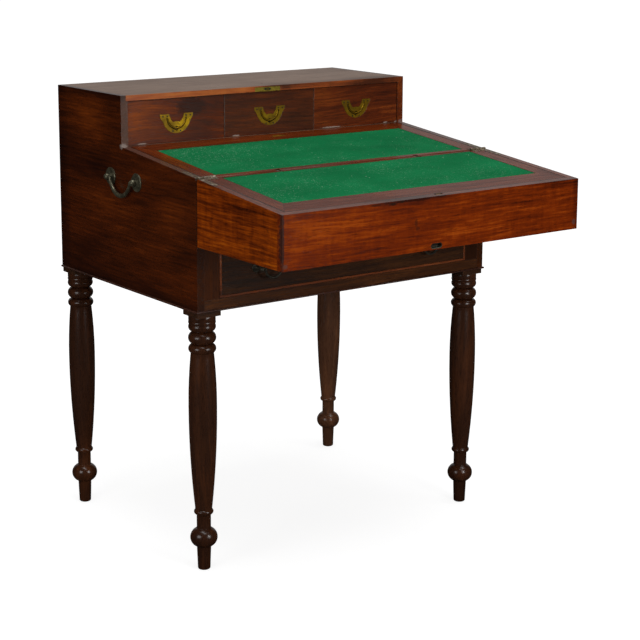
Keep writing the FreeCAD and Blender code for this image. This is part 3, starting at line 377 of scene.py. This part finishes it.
# Painted highlights: thin lighter vertical strips on the drawer fronts beside the dividers
right_glint = ((113.5, 145, 850), (2.4, 12, 400), (0.17, 0.075, 0.048), 0.65)
left_glint = ((-112.5, 145, 850), (2.0, 12, 400), (0.085, 0.048, 0.038), 0.6)
dress(wood("left_drawer_wood", "x", RED_STOPS, cloud=0.35, figure=0.25, fine=0.3, shift=4.1,
           lifts=[((-320, 145, 850), (60, 30, 80), 0.22), ((-150, 145, 850), (90, 30, 80), -0.22)],
           marks=[((-192, 145, 872), (60, 20, 34), STAIN, 0.75)] + FOOT_WEAR[:1],
           wander=(0.08, 0.02, 0.09)), "drawer_left_front")
dress(wood("centre_drawer_wood", "x", DRAWER_STOPS, cloud=0.3, figure=0.25, fine=0.3, shift=6.4,
           marks=FOOT_WEAR[1:2] + [right_glint, left_glint],
           lifts=[((90, 145, 850), (90, 30, 70), -0.14)]), "drawer_centre_front")
dress(wood("right_drawer_wood", "x", RED_STOPS, cloud=0.35, figure=0.32, fine=0.3, shift=9.9,
           marks=FOOT_WEAR[2:] + [right_glint],
           lifts=[((155, 145, 873), (60, 30, 30), 0.06), ((310, 145, 840), (90, 30, 60), 0.08)],
           wander=(0.06, 0.012, 0.05)), "drawer_right_front")
BACK_STOPS = [(0.1, (0.040, 0.0140, 0.0060)), (0.5, (0.110, 0.040, 0.0165)), (0.9, (0.20, 0.082, 0.034))]
INNER_STOPS = [(0.1, (0.10, 0.042, 0.02)), (0.5, (0.22, 0.10, 0.05)), (0.9, (0.34, 0.175, 0.09))]
dress(wood("inner_wood", "y", INNER_STOPS, cloud=0.3, figure=0.4, rough=(0.5, 0.7), shift=6.2),
      "secondary_wood")
dress(wood("back_wood", "x", BACK_STOPS, cloud=0.3, figure=0.45, rough=(0.4, 0.6), shift=2.9), "case_back")
dress(wood("deck_wood", "x", INNER_STOPS, cloud=0.3, figure=0.4, rough=(0.4, 0.6), shift=3.6,
           faces=[(1, -1, RED_STOPS, 1.0, 0.0)],
           marks=[((-200, 143, 797), (90, 12, 3), PALE_WEAR, 0.4),
                  ((120, 143, 797), (60, 12, 2.5), PALE_WEAR, 0.4)]), "drawer_deck")

NIGHT_STOPS = [(0.12, (0.014, 0.0068, 0.0033)), (0.5, (0.050, 0.0200, 0.0090)),
               (0.88, (0.108, 0.040, 0.014))]
BEAD_STOPS = [(0.12, (0.070, 0.018, 0.005)), (0.5, (0.20, 0.050, 0.015)), (0.88, (0.36, 0.10, 0.030))]
DULL_STOPS = [(0.12, (0.03, 0.010, 0.006)), (0.5, (0.070, 0.024, 0.014)), (0.88, (0.14, 0.055, 0.034))]
dress(wood("stile_wood", "z", STILE_STOPS, cloud=0.4, figure=0.12, fine=0.15, shift=1.9,
           lifts=[((-330, -128, 560), (60, 40, 110), 0.12)]), "front_stiles")
RAIL_STOPS = [(0.12, (0.026, 0.0080, 0.0024)), (0.5, (0.078, 0.0260, 0.0082)),
              (0.88, (0.17, 0.056, 0.017))]
dress(wood("rail_wood", "x", RAIL_STOPS, cloud=0.4, figure=0.3, shift=7.3), "front_rail")
dress(wood("panel_wood", "x", RAIL_STOPS, cloud=0.4, figure=0.3, shift=8.8), "front_panel")
dress(wood("long_drawer_wood", "x", NIGHT_STOPS, cloud=0.5, figure=0.3, shift=3.4), "long_drawer_front")
dress(wood("cockbead_wood", "x", BEAD_STOPS, cloud=0.3, figure=0.4, shift=5.5, edge_share=0.3),
      "long_drawer_bead")
dress(wood("base_bead_wood", "x", DULL_STOPS, cloud=0.3, figure=0.4, shift=5.9, edge_share=0.8),
      "base_bead")

LEG_STOPS = [(0.12, (0.016, 0.0052, 0.0023)), (0.5, (0.045, 0.0146, 0.0056)),
             (0.88, (0.115, 0.034, 0.0105))]
RED_LEG_STOPS = [(0.12, (0.050, 0.0190, 0.0095)), (0.5, (0.145, 0.058, 0.0270)),
                 (0.88, (0.32, 0.120, 0.046))]
for number, leg in enumerate(("leg_front_left", "leg_front_right", "leg_rear_left", "leg_rear_right")):
    dress(wood(leg + "_wood", "z", RED_LEG_STOPS if leg == "leg_rear_right" else LEG_STOPS,
               cloud=0.45, figure=0.20, fine=0.16, rough=(0.20, 0.30), coat=0.3, edge_share=0.25,
               shift=3.1 + number * 2.7, relief=0.12), leg)
dress(wood("block_wood", "x", NIGHT_STOPS, shift=2.2, edge_share=0.6), "leg_blocks")

LEAF_STOPS = [(0.12, (0.034, 0.0060, 0.0008)), (0.5, (0.096, 0.0155, 0.0018)), (0.88, (0.18, 0.036, 0.005))]
LEAF_COLOURED_RIM = (2, 1, LEAF_STOPS, 1.0, 0.0)
FLAP_STOPS = [(0.06, (0.034, 0.0040, 0.0003)), (0.34, (0.120, 0.0136, 0.0007)),
              (0.60, (0.210, 0.0265, 0.0014)), (0.92, (0.380, 0.0660, 0.0045))]
SIDE_FLAP_STOPS = [(0.06, (0.044, 0.0058, 0.0003)), (0.34, (0.170, 0.0250, 0.0008)),
                   (0.60, (0.340, 0.0560, 0.0016)), (0.92, (0.600, 0.1300, 0.0040))]
flap_lifts = [
    ((-290, -401, 700), (150, 40, 60), 0.20), ((85, -401, 700), (150, 40, 30), 0.05),
    ((-57, -401, 745), (110, 40, 14), -0.36), ((-150, -401, 748), (190, 40, 9), -0.26),
    ((-222, -401, 700), (60, 40, 14), -0.10), ((-191, -401, 664), (120, 40, 9), -0.12),
    ((211, -401, 682), (120, 40, 7), -0.16), ((199, -401, 712), (100, 40, 8), -0.14),
    ((352, -401, 700), (14, 40, 90), -0.26), ((0, -401, 754), (700, 40, 7), -0.22),
    ((150, -401, 750), (260, 40, 12), -0.14),
]
PIT = (0.022, 0.008, 0.004)
CORNER = (0.030, 0.0175, 0.0150)
flap_marks = [((-56, -402, 700), (6, 10, 13), PIT, 0.55), ((-53, -402, 690), (9, 10, 6), PIT, 0.5),
              ((-112, -402, 740), (16, 10, 4), PIT, 0.9), ((-90, -402, 743), (9, 10, 4), PIT, 0.8),
              ((-150, -402, 742), (20, 10, 3), PIT, 0.7),
              ((-354.5, -402, 702), (5, 20, 110), CORNER, 0.85),
              ((-350, -402, 654), (9, 12, 7), WORN_GREY, 0.7),
              ((347, -402, 660), (7, 12, 9), WORN_GREY, 0.6)]
dress(wood("flap_front_wood", "x", FLAP_STOPS, cloud=0.24, figure=0.34, fine=0.42, ribbon=0.14, shift=7.7,
           lifts=flap_lifts, marks=flap_marks, rough=(0.15, 0.25), faces=[LEAF_COLOURED_RIM],
           wander=(0.04, 0.02, 0.012), edge_tone=RUBBED_DARK), "flap_front")
dress(wood("flap_side_wood", "y", SIDE_FLAP_STOPS, cloud=0.3, figure=0.36, fine=0.46, ribbon=0.16,
           shift=4.7, wander=(0.02, 0.02, 0.010), rough=(0.15, 0.25), shine=0.3, edge_tone=RUBBED_DARK,
           lifts=[((-356, -260, 738), (60, 200, 12), -0.2), ((-356, -170, 690), (60, 60, 40), -0.12)],
           marks=[((-356, -400, 702), (20, 5, 110), CORNER, 0.85),
                  ((-356, -398, 655), (12, 9, 9), WORN_GREY, 0.8)],
           faces=[LEAF_COLOURED_RIM]), "flap_side_left", "flap_side_right")
dress(wood("flap_panel_wood", "x", TOP_STOPS, cloud=0.35, figure=0.4, shift=5.1, shine=0.25,
           faces=[(2, 1, INNER_STOPS, 1.0, 0.0)]), "flap_panel")
dress(wood("flap_back_wood", "x", SIDE_FLAP_STOPS, shift=1.4, shine=0.25, faces=[LEAF_COLOURED_RIM]),
      "flap_back")

front_leaf_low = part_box("front_leaf")[0].y
rear_leaf_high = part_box("rear_leaf")[1].y
# The leaves' edges are darkened as painted shade along the gaps around them; the mitre seams are dark
# joints
for leaf, shift, mitre in (("front_leaf", 9.4, (front_leaf_low, front_border_at_edge, 1)),
                           ("rear_leaf", 6.9, (rear_leaf_high, rear_border_at_drawers, -1))):
    dress(wood(leaf + "_wood", "x", LEAF_STOPS, cloud=0.3, figure=0.3, rough=(0.22, 0.32), shift=shift,
               mitre=mitre, shine=0.18, edge_tone=SEAM_AND_GAP_SHADE, edge_radius=0.0014), leaf)


def metal(name, stops, dirt_and_shade_tone, dirt=0.6, rough=(0.28, 0.5), size=60, metallic=1.0, lifts=(), marks=(),
          hollow=None, bow=None):
    """Old brass or steel: tarnish in patches, dirt in spots, painted shade in hollows, small scratches.

    lifts and marks are as for wood, but marks stay whole; what lies behind the hollow depth, in metres, is
    darkened as painted shade, and so is what lies outside the bow, a circle given by its middle across and
    up and its radius.
    """
    s = Shader(name)
    patches = s.ramp(s.noise(s.even(size), 5.0, 0.65, 0.5), 0.3, 0.7)
    for place, reach, amount in lifts:
        patches = s.maths("MULTIPLY_ADD", s.spot(place, reach), amount, patches)
    grit = s.noise(s.even(700), 2.0, 0.6)
    colour = s.tones(patches, stops)
    spots = s.ramp(s.noise(s.even(240), 4.0, 0.7), 0.56, 0.72)
    colour = s.blend(s.maths("MULTIPLY", spots, dirt), colour, dirt_and_shade_tone)
    for place, reach, tone, strength in marks:
        colour = s.blend(s.maths("MULTIPLY", s.spot(place, reach), strength), colour, tone)
    # Painted shade: the recess behind the handle's face is darkened
    if hollow is not None:
        depth = s.ramp(s.split(s.straight)[1], hollow + 0.0008, hollow + 0.0022, 0.0, 0.9)
        colour = s.blend(depth, colour, dirt_and_shade_tone)
    # Painted shade: the outer half of the bail's bar is darkened
    if bow is not None:
        centre_x, centre_z, radius = bow
        x, y, z = s.split(s.straight)
        across = s.maths("POWER", s.maths("SUBTRACT", x, centre_x), 2.0)
        height = s.maths("POWER", s.maths("SUBTRACT", z, centre_z), 2.0)
        out = s.maths("SQRT", s.maths("ADD", across, height))
        colour = s.blend(s.ramp(out, radius - 0.0002, radius + 0.0004, 0.0, 0.97), colour, dirt_and_shade_tone)
    scratched = s.maths("MULTIPLY_ADD", grit, 0.4, patches)
    s.set(base_color=colour, metallic=metallic, roughness=s.ramp(scratched, 0.2, 1.2, rough[1], rough[0]))
    s.bump(s.maths("MULTIPLY_ADD", grit, 0.5, spots), 0.0001, 0.35)
    return s


OLIVE = [(0.0, (0.140, 0.080, 0.005)), (0.5, (0.345, 0.190, 0.0095)), (0.95, (0.62, 0.35, 0.017)),
         (1.0, (0.98, 0.55, 0.020))]
MURK = (0.018, 0.012, 0.004)
handle_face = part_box("drawer_left_handle")[0].y
small_x, _, small_z = middle_mm("drawer_left_handle")
# The left handle has a painted highlight on its right half and a touch of painted shade at its left end;
# its recess is darkened as painted shade
dress(metal("brass_left_handle", OLIVE, MURK, dirt=0.4, metallic=0.8, hollow=handle_face,
            lifts=[((small_x + 20, 143, small_z - 2), (24, 30, 24), 0.8),
                   ((small_x - 26, 143, small_z), (24, 30, 24), -0.1)]), "drawer_left_handle")
bow_radius = 0.0216
bar_radius = 0.0018
# The bails' outer halves are darkened as painted shade
for drawer in ("left", "centre", "right"):
    low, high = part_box(f"drawer_{drawer}_bail")
    bow = ((low.x + high.x) / 2, low.z + bar_radius + bow_radius, bow_radius)
    dress(metal(f"brass_{drawer}_bail", OLIVE, MURK, dirt=0.4, metallic=0.8, bow=bow),
          f"drawer_{drawer}_bail")
# The handles' recesses are darkened as painted shade
dress(metal("brass_handle", OLIVE, MURK, dirt=0.4, metallic=0.8, hollow=handle_face),
      "drawer_centre_handle", "drawer_right_handle")
dress(metal("olive_brass", OLIVE, MURK, metallic=0.8), "brass")
GRIME = [(0.0, (0.035, 0.022, 0.012)), (0.55, (0.12, 0.085, 0.050)), (0.95, (0.42, 0.36, 0.27))]
dress(metal("grimy_brass", GRIME, MURK, size=110, metallic=0.3),
      "hinge_plates_case", "hinge_plates_flap", "hinge_pins")
LOCK_BRASS = [(0.0, (0.19, 0.135, 0.014)), (1.0, (0.60, 0.425, 0.050))]
keyhole = ((middle_mm("lock_case")[0], 143, 895), (7, 30, 7), MURK, 0.9)
dress(metal("lock_brass", LOCK_BRASS, MURK, dirt=0.7, metallic=0.7, marks=[keyhole]), "lock_case")
# Painted shade and light: the strike is near black as the shade in its recess, with a painted lit patch
# along its lower front edge
STRIKE_SHADE = [(0.0, (0.008, 0.007, 0.005)), (1.0, (0.022, 0.018, 0.012))]
strike_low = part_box("lock_strike")[0]
strike_lit_edge = (middle_mm("lock_strike")[0], strike_low.y * 1000, strike_low.z * 1000)
dress(metal("strike_brass", STRIKE_SHADE, MURK, metallic=0.5,
            marks=[(strike_lit_edge, (22, 14, 7), (0.16, 0.16, 0.11), 1.0)]), "lock_strike")
BRONZE = [(0.0, (0.040, 0.035, 0.020)), (0.6, (0.130, 0.118, 0.074)), (1.0, (0.32, 0.31, 0.210))]
dress(metal("dark_brass", BRONZE, (0.010, 0.006, 0.004), metallic=0.6), "patinated_brass")
DROP_BRASS = [(0.0, (0.014, 0.011, 0.007)), (1.0, (0.085, 0.075, 0.052))]
dress(metal("drop_brass", DROP_BRASS, (0.008, 0.005, 0.003), metallic=0.4, rough=(0.4, 0.6)),
      "long_drawer_handles", "long_drawer_bail_left", "long_drawer_bail_right", "long_drawer_nuts")
PIVOT_BRASS = [(0.0, (0.020, 0.013, 0.006)), (1.0, (0.075, 0.050, 0.020))]
dress(metal("pivot_brass", PIVOT_BRASS, MURK, metallic=0.4), "front_leaf_pivots", "rear_leaf_pivots")
DULL_STEEL = [(0.0, (0.022, 0.018, 0.012)), (1.0, (0.075, 0.060, 0.040))]
dress(metal("dull_steel", DULL_STEEL, MURK, metallic=0.7), "steel")
SCREW_BRASS = [(0.0, (0.010, 0.007, 0.003)), (1.0, (0.035, 0.025, 0.010))]
dark_screw = metal("dark_screw", SCREW_BRASS, MURK, metallic=0.3).material


def green_baize():
    """Woollen cloth: a napped weave, faded a little in places, with pale lint caught in it."""
    s = Shader("baize_cloth")
    nap = s.noise(s.even(1500), 3.0, 0.7)
    tufts = s.noise(s.even(330), 4.0, 0.7, 0.5)
    fade = s.ramp(s.noise(s.scaled((7, 11, 9)), 4.0, 0.6), 0.3, 0.7)
    mix = s.maths("MULTIPLY_ADD", fade, 0.35, s.maths("MULTIPLY", tufts, 0.65))
    colour = s.tones(mix, [(0.15, (0.0008, 0.080, 0.026)), (0.5, (0.0016, 0.127, 0.039)),
                           (0.85, (0.006, 0.183, 0.062))])
    fluff = s.cells(s.even(95))
    few = s.ramp(s.noise(s.even(60), 3.0, 0.6), 0.53, 0.60)
    lint = s.maths("MULTIPLY", s.ramp(fluff, 0.06, 0.13, 1.0, 0.0), few)
    worn = s.ramp(s.noise(s.even(13), 3.0), 0.46, 0.66)
    dust = s.maths("MULTIPLY", s.ramp(s.noise(s.even(420), 2.0, 0.6), 0.60, 0.72), worn)
    specks = s.ramp(s.cells(s.even(300)), 0.20, 0.36, 1.0, 0.0)
    patches = s.ramp(s.noise(s.even(9), 4.0, 0.6), 0.44, 0.64, 0.10, 0.8)
    patches = s.maths("ADD", patches, s.spot((-230, 60, 780), (190, 120, 80)))
    patches = s.maths("ADD", patches, s.maths("MULTIPLY", s.spot((-260, -240, 750), (140, 90, 80)), 0.5))
    scattered = s.ramp(s.noise(s.even(150), 2.0, 0.6), 0.46, 0.56)
    specks = s.maths("MULTIPLY", s.maths("MULTIPLY", specks, patches), scattered)
    colour = s.blend(s.maths("MULTIPLY", dust, 0.4), colour, (0.16, 0.34, 0.22))
    colour = s.blend(s.maths("MULTIPLY", specks, 0.42), colour, (0.34, 0.50, 0.38))
    colour = s.blend(s.maths("MULTIPLY", lint, 0.75), colour, (0.42, 0.54, 0.42))
    s.set(base_color=colour, roughness=0.95, specular_ior_level=0.08)
    s.bump(s.maths("MULTIPLY_ADD", nap, 0.5, tufts), 0.0006, 0.7)
    return s


dress(green_baize(), "baize")

# A node's own material, or its slot's; softly rounded edges catch the light
wood_softness = 0.0006
metal_softness = 0.0003
slot_of = {item["node"]: item["material_slot"] for item in frame["record"]["subparts"]}
for name, piece in nodes.items():
    slot = slot_of[name]
    piece.data.materials.clear()
    piece.data.materials.append(materials[name] if name in materials else materials[slot])
    weld = piece.modifiers.new("weld", "WELD")
    weld.merge_threshold = 0.00001
    if name in ("lock_bolt", "lock_case"):
        continue  # the bolt runs in the case's slots with too little room for softened corners
    bevel = piece.modifiers.new("soft_edges", "BEVEL")
    bevel.width = metal_softness if "brass" in slot or slot == "steel" else wood_softness
    bevel.segments = 2
    bevel.limit_method = "ANGLE"
    bevel.angle_limit = math.radians(34)
    bevel.harden_normals = True
    bevel.use_clamp_overlap = True


def new_piece(name, vertices, faces, material, body, smooth=True):
    mesh = bpy.data.meshes.new(name)
    mesh.from_pydata(vertices, [], faces)
    mesh.update()
    mesh.materials.append(material)
    for face in mesh.polygons:
        face.use_smooth = smooth
    piece = bpy.data.objects.new(name, mesh)
    bpy.context.scene.collection.objects.link(piece)
    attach(piece, body)
    return piece


# Baize panels


def lay_baize(name, start, end, side, body):
    """A cut cloth laid in its recess: a fine grid with a soft, ragged edge.

    The recess runs from start to end, in metres from the fold, behind it if side is 1 and before it if -1.
    """
    half = leaf_half_width - side_border - baize_clearance
    first, last = start + baize_clearance, end - baize_clearance
    length = last - first
    columns, rows = 150, 60
    ragged = 0.00035
    edge_drop = 0.00035
    unevenness = 0.00006
    faces = []

    def grid(level, rounded):
        points = []
        for row in range(rows + 1):
            for column in range(columns + 1):
                x = -half + 2 * half * column / columns
                v = first + length * row / rows
                rim = min(column, columns - column, row, rows - row)
                w = level
                if rounded and rim == 0:
                    w -= edge_drop
                if rim == 0:
                    x -= math.copysign(random.uniform(0, ragged), x) if column in (0, columns) else 0
                    if row == 0:
                        v += random.uniform(0, ragged)
                    if row == rows:
                        v -= random.uniform(0, ragged)
                elif rounded:
                    w += random.uniform(-unevenness, unevenness)
                points.append(tuple(on_slope(x, side * v, w)))
        return points

    vertices = grid(baize_face, True) + grid(baize_floor, False)
    count = (rows + 1) * (columns + 1)
    for row in range(rows):
        for column in range(columns):
            a = row * (columns + 1) + column
            quad = (a, a + 1, a + columns + 2, a + columns + 1)
            faces.append(quad if side > 0 else quad[::-1])
            under = tuple(i + count for i in quad)
            faces.append(under[::-1] if side > 0 else under)
    ring = list(range(columns + 1))
    ring += [(row + 1) * (columns + 1) + columns for row in range(rows)]
    ring += [rows * (columns + 1) + column for column in range(columns - 1, -1, -1)]
    ring += [row * (columns + 1) for row in range(rows - 1, 0, -1)]
    for a, b in zip(ring, ring[1:] + ring[:1]):
        wall = (b, a, a + count, b + count)
        faces.append(wall if side > 0 else wall[::-1])
    piece = new_piece(name + "_cloth", vertices, faces, materials["baize"], body)
    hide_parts(name)


def along_slope(y, w):
    """Distance up the slope of a point at a depth and a height off the rims' plane."""
    return (y - fold_y + w * slope_sine) / slope_cosine


rear_low, rear_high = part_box("rear_baize")
front_low, front_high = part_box("front_baize")
baize_floor = -leaf_drop - baize_recess
baize_face = baize_floor + baize_thickness
rear_start = along_slope(rear_low.y, baize_face) - baize_clearance
rear_end = along_slope(rear_high.y, baize_floor) + baize_clearance
front_start = -along_slope(front_high.y, baize_floor) - baize_clearance
front_end = -along_slope(front_low.y, baize_face) + baize_clearance
lay_baize("rear_baize", rear_start, rear_end, 1, "rear_leaf")
lay_baize("front_baize", front_start, front_end, -1, "front_leaf")


# Screws with slotted heads


def slotted_head(radius, rise):
    """Vertices and faces of a flat slotted head lying on z = 0: two half discs on a floor."""
    vertices, faces = [], []
    half_slot = radius * 0.16
    steps = 14
    sunk = -0.0002
    shoulder = rise * 0.55
    chamfer = 0.00012
    floor_steps = 24
    floor_height = 0.00002
    start = math.asin(half_slot / radius)
    for side in (0, 1):
        turn = math.pi * side
        base = len(vertices)
        arc = [start + (math.pi - 2 * start) * i / steps + turn for i in range(steps + 1)]
        for z, inset in ((sunk, 0), (shoulder, 0), (rise, chamfer)):
            for angle in arc:
                reach = radius - inset
                vertices.append((reach * math.cos(angle), reach * math.sin(angle), z))
        count = steps + 1
        for level in (0, 1):
            for i in range(count):
                j = (i + 1) % count
                a = base + level * count
                faces.append((a + i, a + j, a + count + j, a + count + i))
        faces.append(tuple(base + 2 * count + i for i in range(count)))
    base = len(vertices)
    for i in range(floor_steps):
        angle = 2 * math.pi * i / floor_steps
        vertices.append((radius * math.cos(angle), radius * math.sin(angle), floor_height))
    faces.append(tuple(range(base, base + floor_steps)))
    return vertices, faces


screw_numbers = itertools.count(1)


def screw(place, normal, radius, body, material, rise=0.00022):
    """A screw head on a surface, with its slot turned at random."""
    vertices, faces = slotted_head(radius, rise)
    turn = Vector((0, 0, 1)).rotation_difference(Vector(normal)).to_matrix()
    spin = Matrix.Rotation(random.uniform(0, math.pi), 3, "Z")
    points = [tuple(Vector(place) + turn @ (spin @ Vector(v))) for v in vertices]
    name = f"screw_{next(screw_numbers):02d}"
    new_piece(name, points, faces, material, body, smooth=False)


# Hinge plates: three screws along each strap and two in the foot by the knuckles, as the distance in from
# the plate's outer edge, the distance from the fold and the radius
strap_screws = [(strap_width / 2, v, 0.0023) for v in (0.022, 0.036, 0.049)]
foot_screws = [(inset, 0.0074, 0.0019) for inset in (0.0215, 0.0335)]
up_slope = Vector((0, -slope_sine, slope_cosine))
for side in (-1, 1):
    for inset, v, radius in strap_screws + foot_screws:
        for part, body in ((1, "case"), (-1, "flap")):
            place = on_slope(side * (half_width - hinge_margin - inset), part * v, 0)
            screw(place, up_slope, radius, body, materials["hinge_plates_case"])

# Flush handles: two screws in each ear and two in the foot, across and up from the handle's middle
to_front = (0, -1, 0)
handle_ear_top = 0.0195
handle_screws = [(x, 0.0152) for x in (-0.032, -0.022, 0.022, 0.032)]
handle_screws += [(x, -0.0153) for x in (-0.009, 0.009)]
handle_screw_radius = 0.0018
for drawer in ("left", "centre", "right"):
    low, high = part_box(f"drawer_{drawer}_handle")
    for x, z in handle_screws:
        place = ((low.x + high.x) / 2 + x, low.y, high.z - handle_ear_top + z)
        screw(place, to_front, handle_screw_radius, f"drawer_{drawer}", dark_screw)

# Lock: one screw near each end of its plate, level with the bolt
lock_low, lock_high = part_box("lock_case")
bolt_low, bolt_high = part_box("lock_bolt")
lock_screw_inset = 0.006
lock_screw_radius = 0.0022
for x in (lock_low.x + lock_screw_inset, lock_high.x - lock_screw_inset):
    place = (x, lock_low.y, (bolt_low.z + bolt_high.z) / 2)
    screw(place, to_front, lock_screw_radius, "case", materials["lock_case"])

# Carrying handles: three screws on a circle in each round plate
carry_low, carry_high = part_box("carry_plates")
carry_plate_radius = 0.0183
carry_plate_thickness = 0.0030
carry_screw_circle = 0.0128
carry_screw_radius = 0.0021
carry_screw_rise = 0.0004
carry_middle = (carry_low.z + carry_high.z) / 2
for side in (-1, 1):
    for y in (carry_low.y + carry_plate_radius, carry_high.y - carry_plate_radius):
        for degrees in (90, 210, 330):
            angle = math.radians(degrees)
            place = (side * (half_width + carry_plate_thickness), y + carry_screw_circle * math.cos(angle),
                     carry_middle + carry_screw_circle * math.sin(angle))
            screw(place, (side, 0, 0), carry_screw_radius, "case", materials["patinated_brass"],
                  rise=carry_screw_rise)


# Floor, light and camera


def by_ray(tree, path, ray, other, chosen):
    """One shader for a kind of ray and another for all the rest."""
    node = tree.nodes.new("ShaderNodeMixShader")
    for index, source in enumerate((path.outputs[ray], other.outputs[0], chosen.outputs[0])):
        tree.links.new(source, node.inputs[index])
    return node


def stage_floor():
    """White paper to the camera; darker to light that bounces, so that it casts no haze on the polish."""
    reach = 60.0
    corners = [(-reach, -reach, 0), (reach, -reach, 0), (reach, reach, 0), (-reach, reach, 0)]
    mesh = bpy.data.meshes.new("floor")
    mesh.from_pydata(corners, [], [(0, 1, 2, 3)])
    floor = bpy.data.objects.new("floor", mesh)
    bpy.context.scene.collection.objects.link(floor)
    s = Shader("floor_paper")
    mottle = s.noise(s.even(3), 3.0)

    def matt(low, high):
        """A diffuse shader that is mottled between two tones."""
        node = s.make("ShaderNodeBsdfDiffuse")
        s.join(s.tones(mottle, [(0.0, low), (1.0, high)]), node.inputs["Color"])
        return node

    paper = s.tones(mottle, [(0.0, (0.30, 0.30, 0.30)), (1.0, (0.34, 0.34, 0.34))])
    glow = s.ramp(s.spot((0, 0, 0), (2600, 2600, 2600)), 0.0, 1.0, 1.0, 0.84)
    s.set(base_color=paper, roughness=0.95, specular_ior_level=0.0)
    s.set(emission_strength=glow, emission_color=(1, 1, 1, 1))
    bounce = matt((0.30, 0.29, 0.28), (0.34, 0.33, 0.32))
    mirror = matt((0.02, 0.02, 0.02), (0.03, 0.03, 0.03))
    path = s.make("ShaderNodeLightPath")
    unseen = by_ray(s.tree, path, "Is Glossy Ray", bounce, mirror)
    shown = by_ray(s.tree, path, "Is Camera Ray", unseen, s.surface)
    s.join(shown.outputs[0], s.tree.nodes["Material Output"].inputs["Surface"])
    mesh.materials.append(s.material)


stage_floor()


def soft_light(name, place, aim, width, height, power):
    light = bpy.data.lights.new(name, "AREA")
    light.shape = "RECTANGLE"
    light.size = width
    light.size_y = height
    light.energy = power
    lamp = bpy.data.objects.new(name, light)
    bpy.context.scene.collection.objects.link(lamp)
    lamp.location = place
    lamp.rotation_mode = "QUATERNION"
    lamp.rotation_quaternion = (Vector(aim) - Vector(place)).to_track_quat("-Z", "Y")
    lamp.visible_camera = False


soft_light("overhead", place=(0.1, -0.5, 3.2), aim=(0, 0, 0.7), width=2.4, height=2.4, power=66)
soft_light("right_box", place=(0.157, -1.855, 0.95), aim=(0, -0.2, 0.6), width=0.55, height=0.8, power=11)
soft_light("left_box", place=(-2.16, -0.505, 0.95), aim=(-0.3, 0, 0.6), width=0.9, height=0.8, power=9)

# Surroundings: white to the camera, dim for light, and dark in the polish but for one soft bright patch
world = bpy.data.worlds.new("studio")
bpy.context.scene.world = world
world.use_nodes = True
world_links = world.node_tree.links
world_nodes = world.node_tree.nodes


def sky(node, strength):
    """White surroundings, as strong as a number or a socket says."""
    node.inputs["Color"].default_value = (1, 1, 1, 1)
    if hasattr(strength, "links"):
        world_links.new(strength, node.inputs["Strength"])
    else:
        node.inputs["Strength"].default_value = strength
    return node


patch_direction = (0.55, 0.82, 0.16)
direction = world_nodes.new("ShaderNodeTexCoord")
towards = world_nodes.new("ShaderNodeVectorMath")
towards.operation = "DOT_PRODUCT"
world_links.new(direction.outputs["Generated"], towards.inputs[0])
towards.inputs[1].default_value = patch_direction
falloff = world_nodes.new("ShaderNodeMapRange")
world_links.new(towards.outputs["Value"], falloff.inputs[0])
for index, value in ((1, 0.72), (2, 0.94), (3, 0.006), (4, 0.38)):
    falloff.inputs[index].default_value = value  # from low, from high, to low, to high
white = sky(world_nodes["Background"], 1.0)
dim = sky(world_nodes.new("ShaderNodeBackground"), 0.2)
patch = sky(world_nodes.new("ShaderNodeBackground"), falloff.outputs[0])
ray_kind = world_nodes.new("ShaderNodeLightPath")
unseen = by_ray(world.node_tree, ray_kind, "Is Glossy Ray", dim, patch)
surroundings = by_ray(world.node_tree, ray_kind, "Is Camera Ray", unseen, white)
world_links.new(surroundings.outputs[0], world_nodes["World Output"].inputs["Surface"])

# The photograph's camera, found from the desk's straight edges; angles are in radians
camera_data = bpy.data.cameras.new("camera")
camera = bpy.data.objects.new("camera", camera_data)
bpy.context.scene.collection.objects.link(camera)
bpy.context.scene.camera = camera
camera_left = 2.0038
camera_before_back = 3.1274
camera_height = 1.2590
yaw = 0.6395627
pitch = 0.1947409
roll = 0.0047106
focal_pixels = 1688.04
frame_pixels = 640
camera_data.sensor_width = 36.0
camera_data.lens = focal_pixels / frame_pixels * camera_data.sensor_width
camera_data.shift_y = -0.12
camera_data.clip_start = 0.1
camera_data.clip_end = 200.0
forward = Vector((math.sin(yaw) * math.cos(pitch), math.cos(yaw) * math.cos(pitch), -math.sin(pitch)))
level_right = Vector((math.cos(yaw), -math.sin(yaw), 0))
level_up = level_right.cross(forward)
right = math.cos(roll) * level_right + math.sin(roll) * level_up
up = -math.sin(roll) * level_right + math.cos(roll) * level_up
camera.location = (-camera_left, back_y - camera_before_back, camera_height)
camera.rotation_mode = "QUATERNION"
camera.rotation_quaternion = Matrix((right, up, -forward)).transposed().to_quaternion()

view = bpy.context.scene.view_settings
view.view_transform = "Standard"
view.look = "None"
view.exposure = 0.0
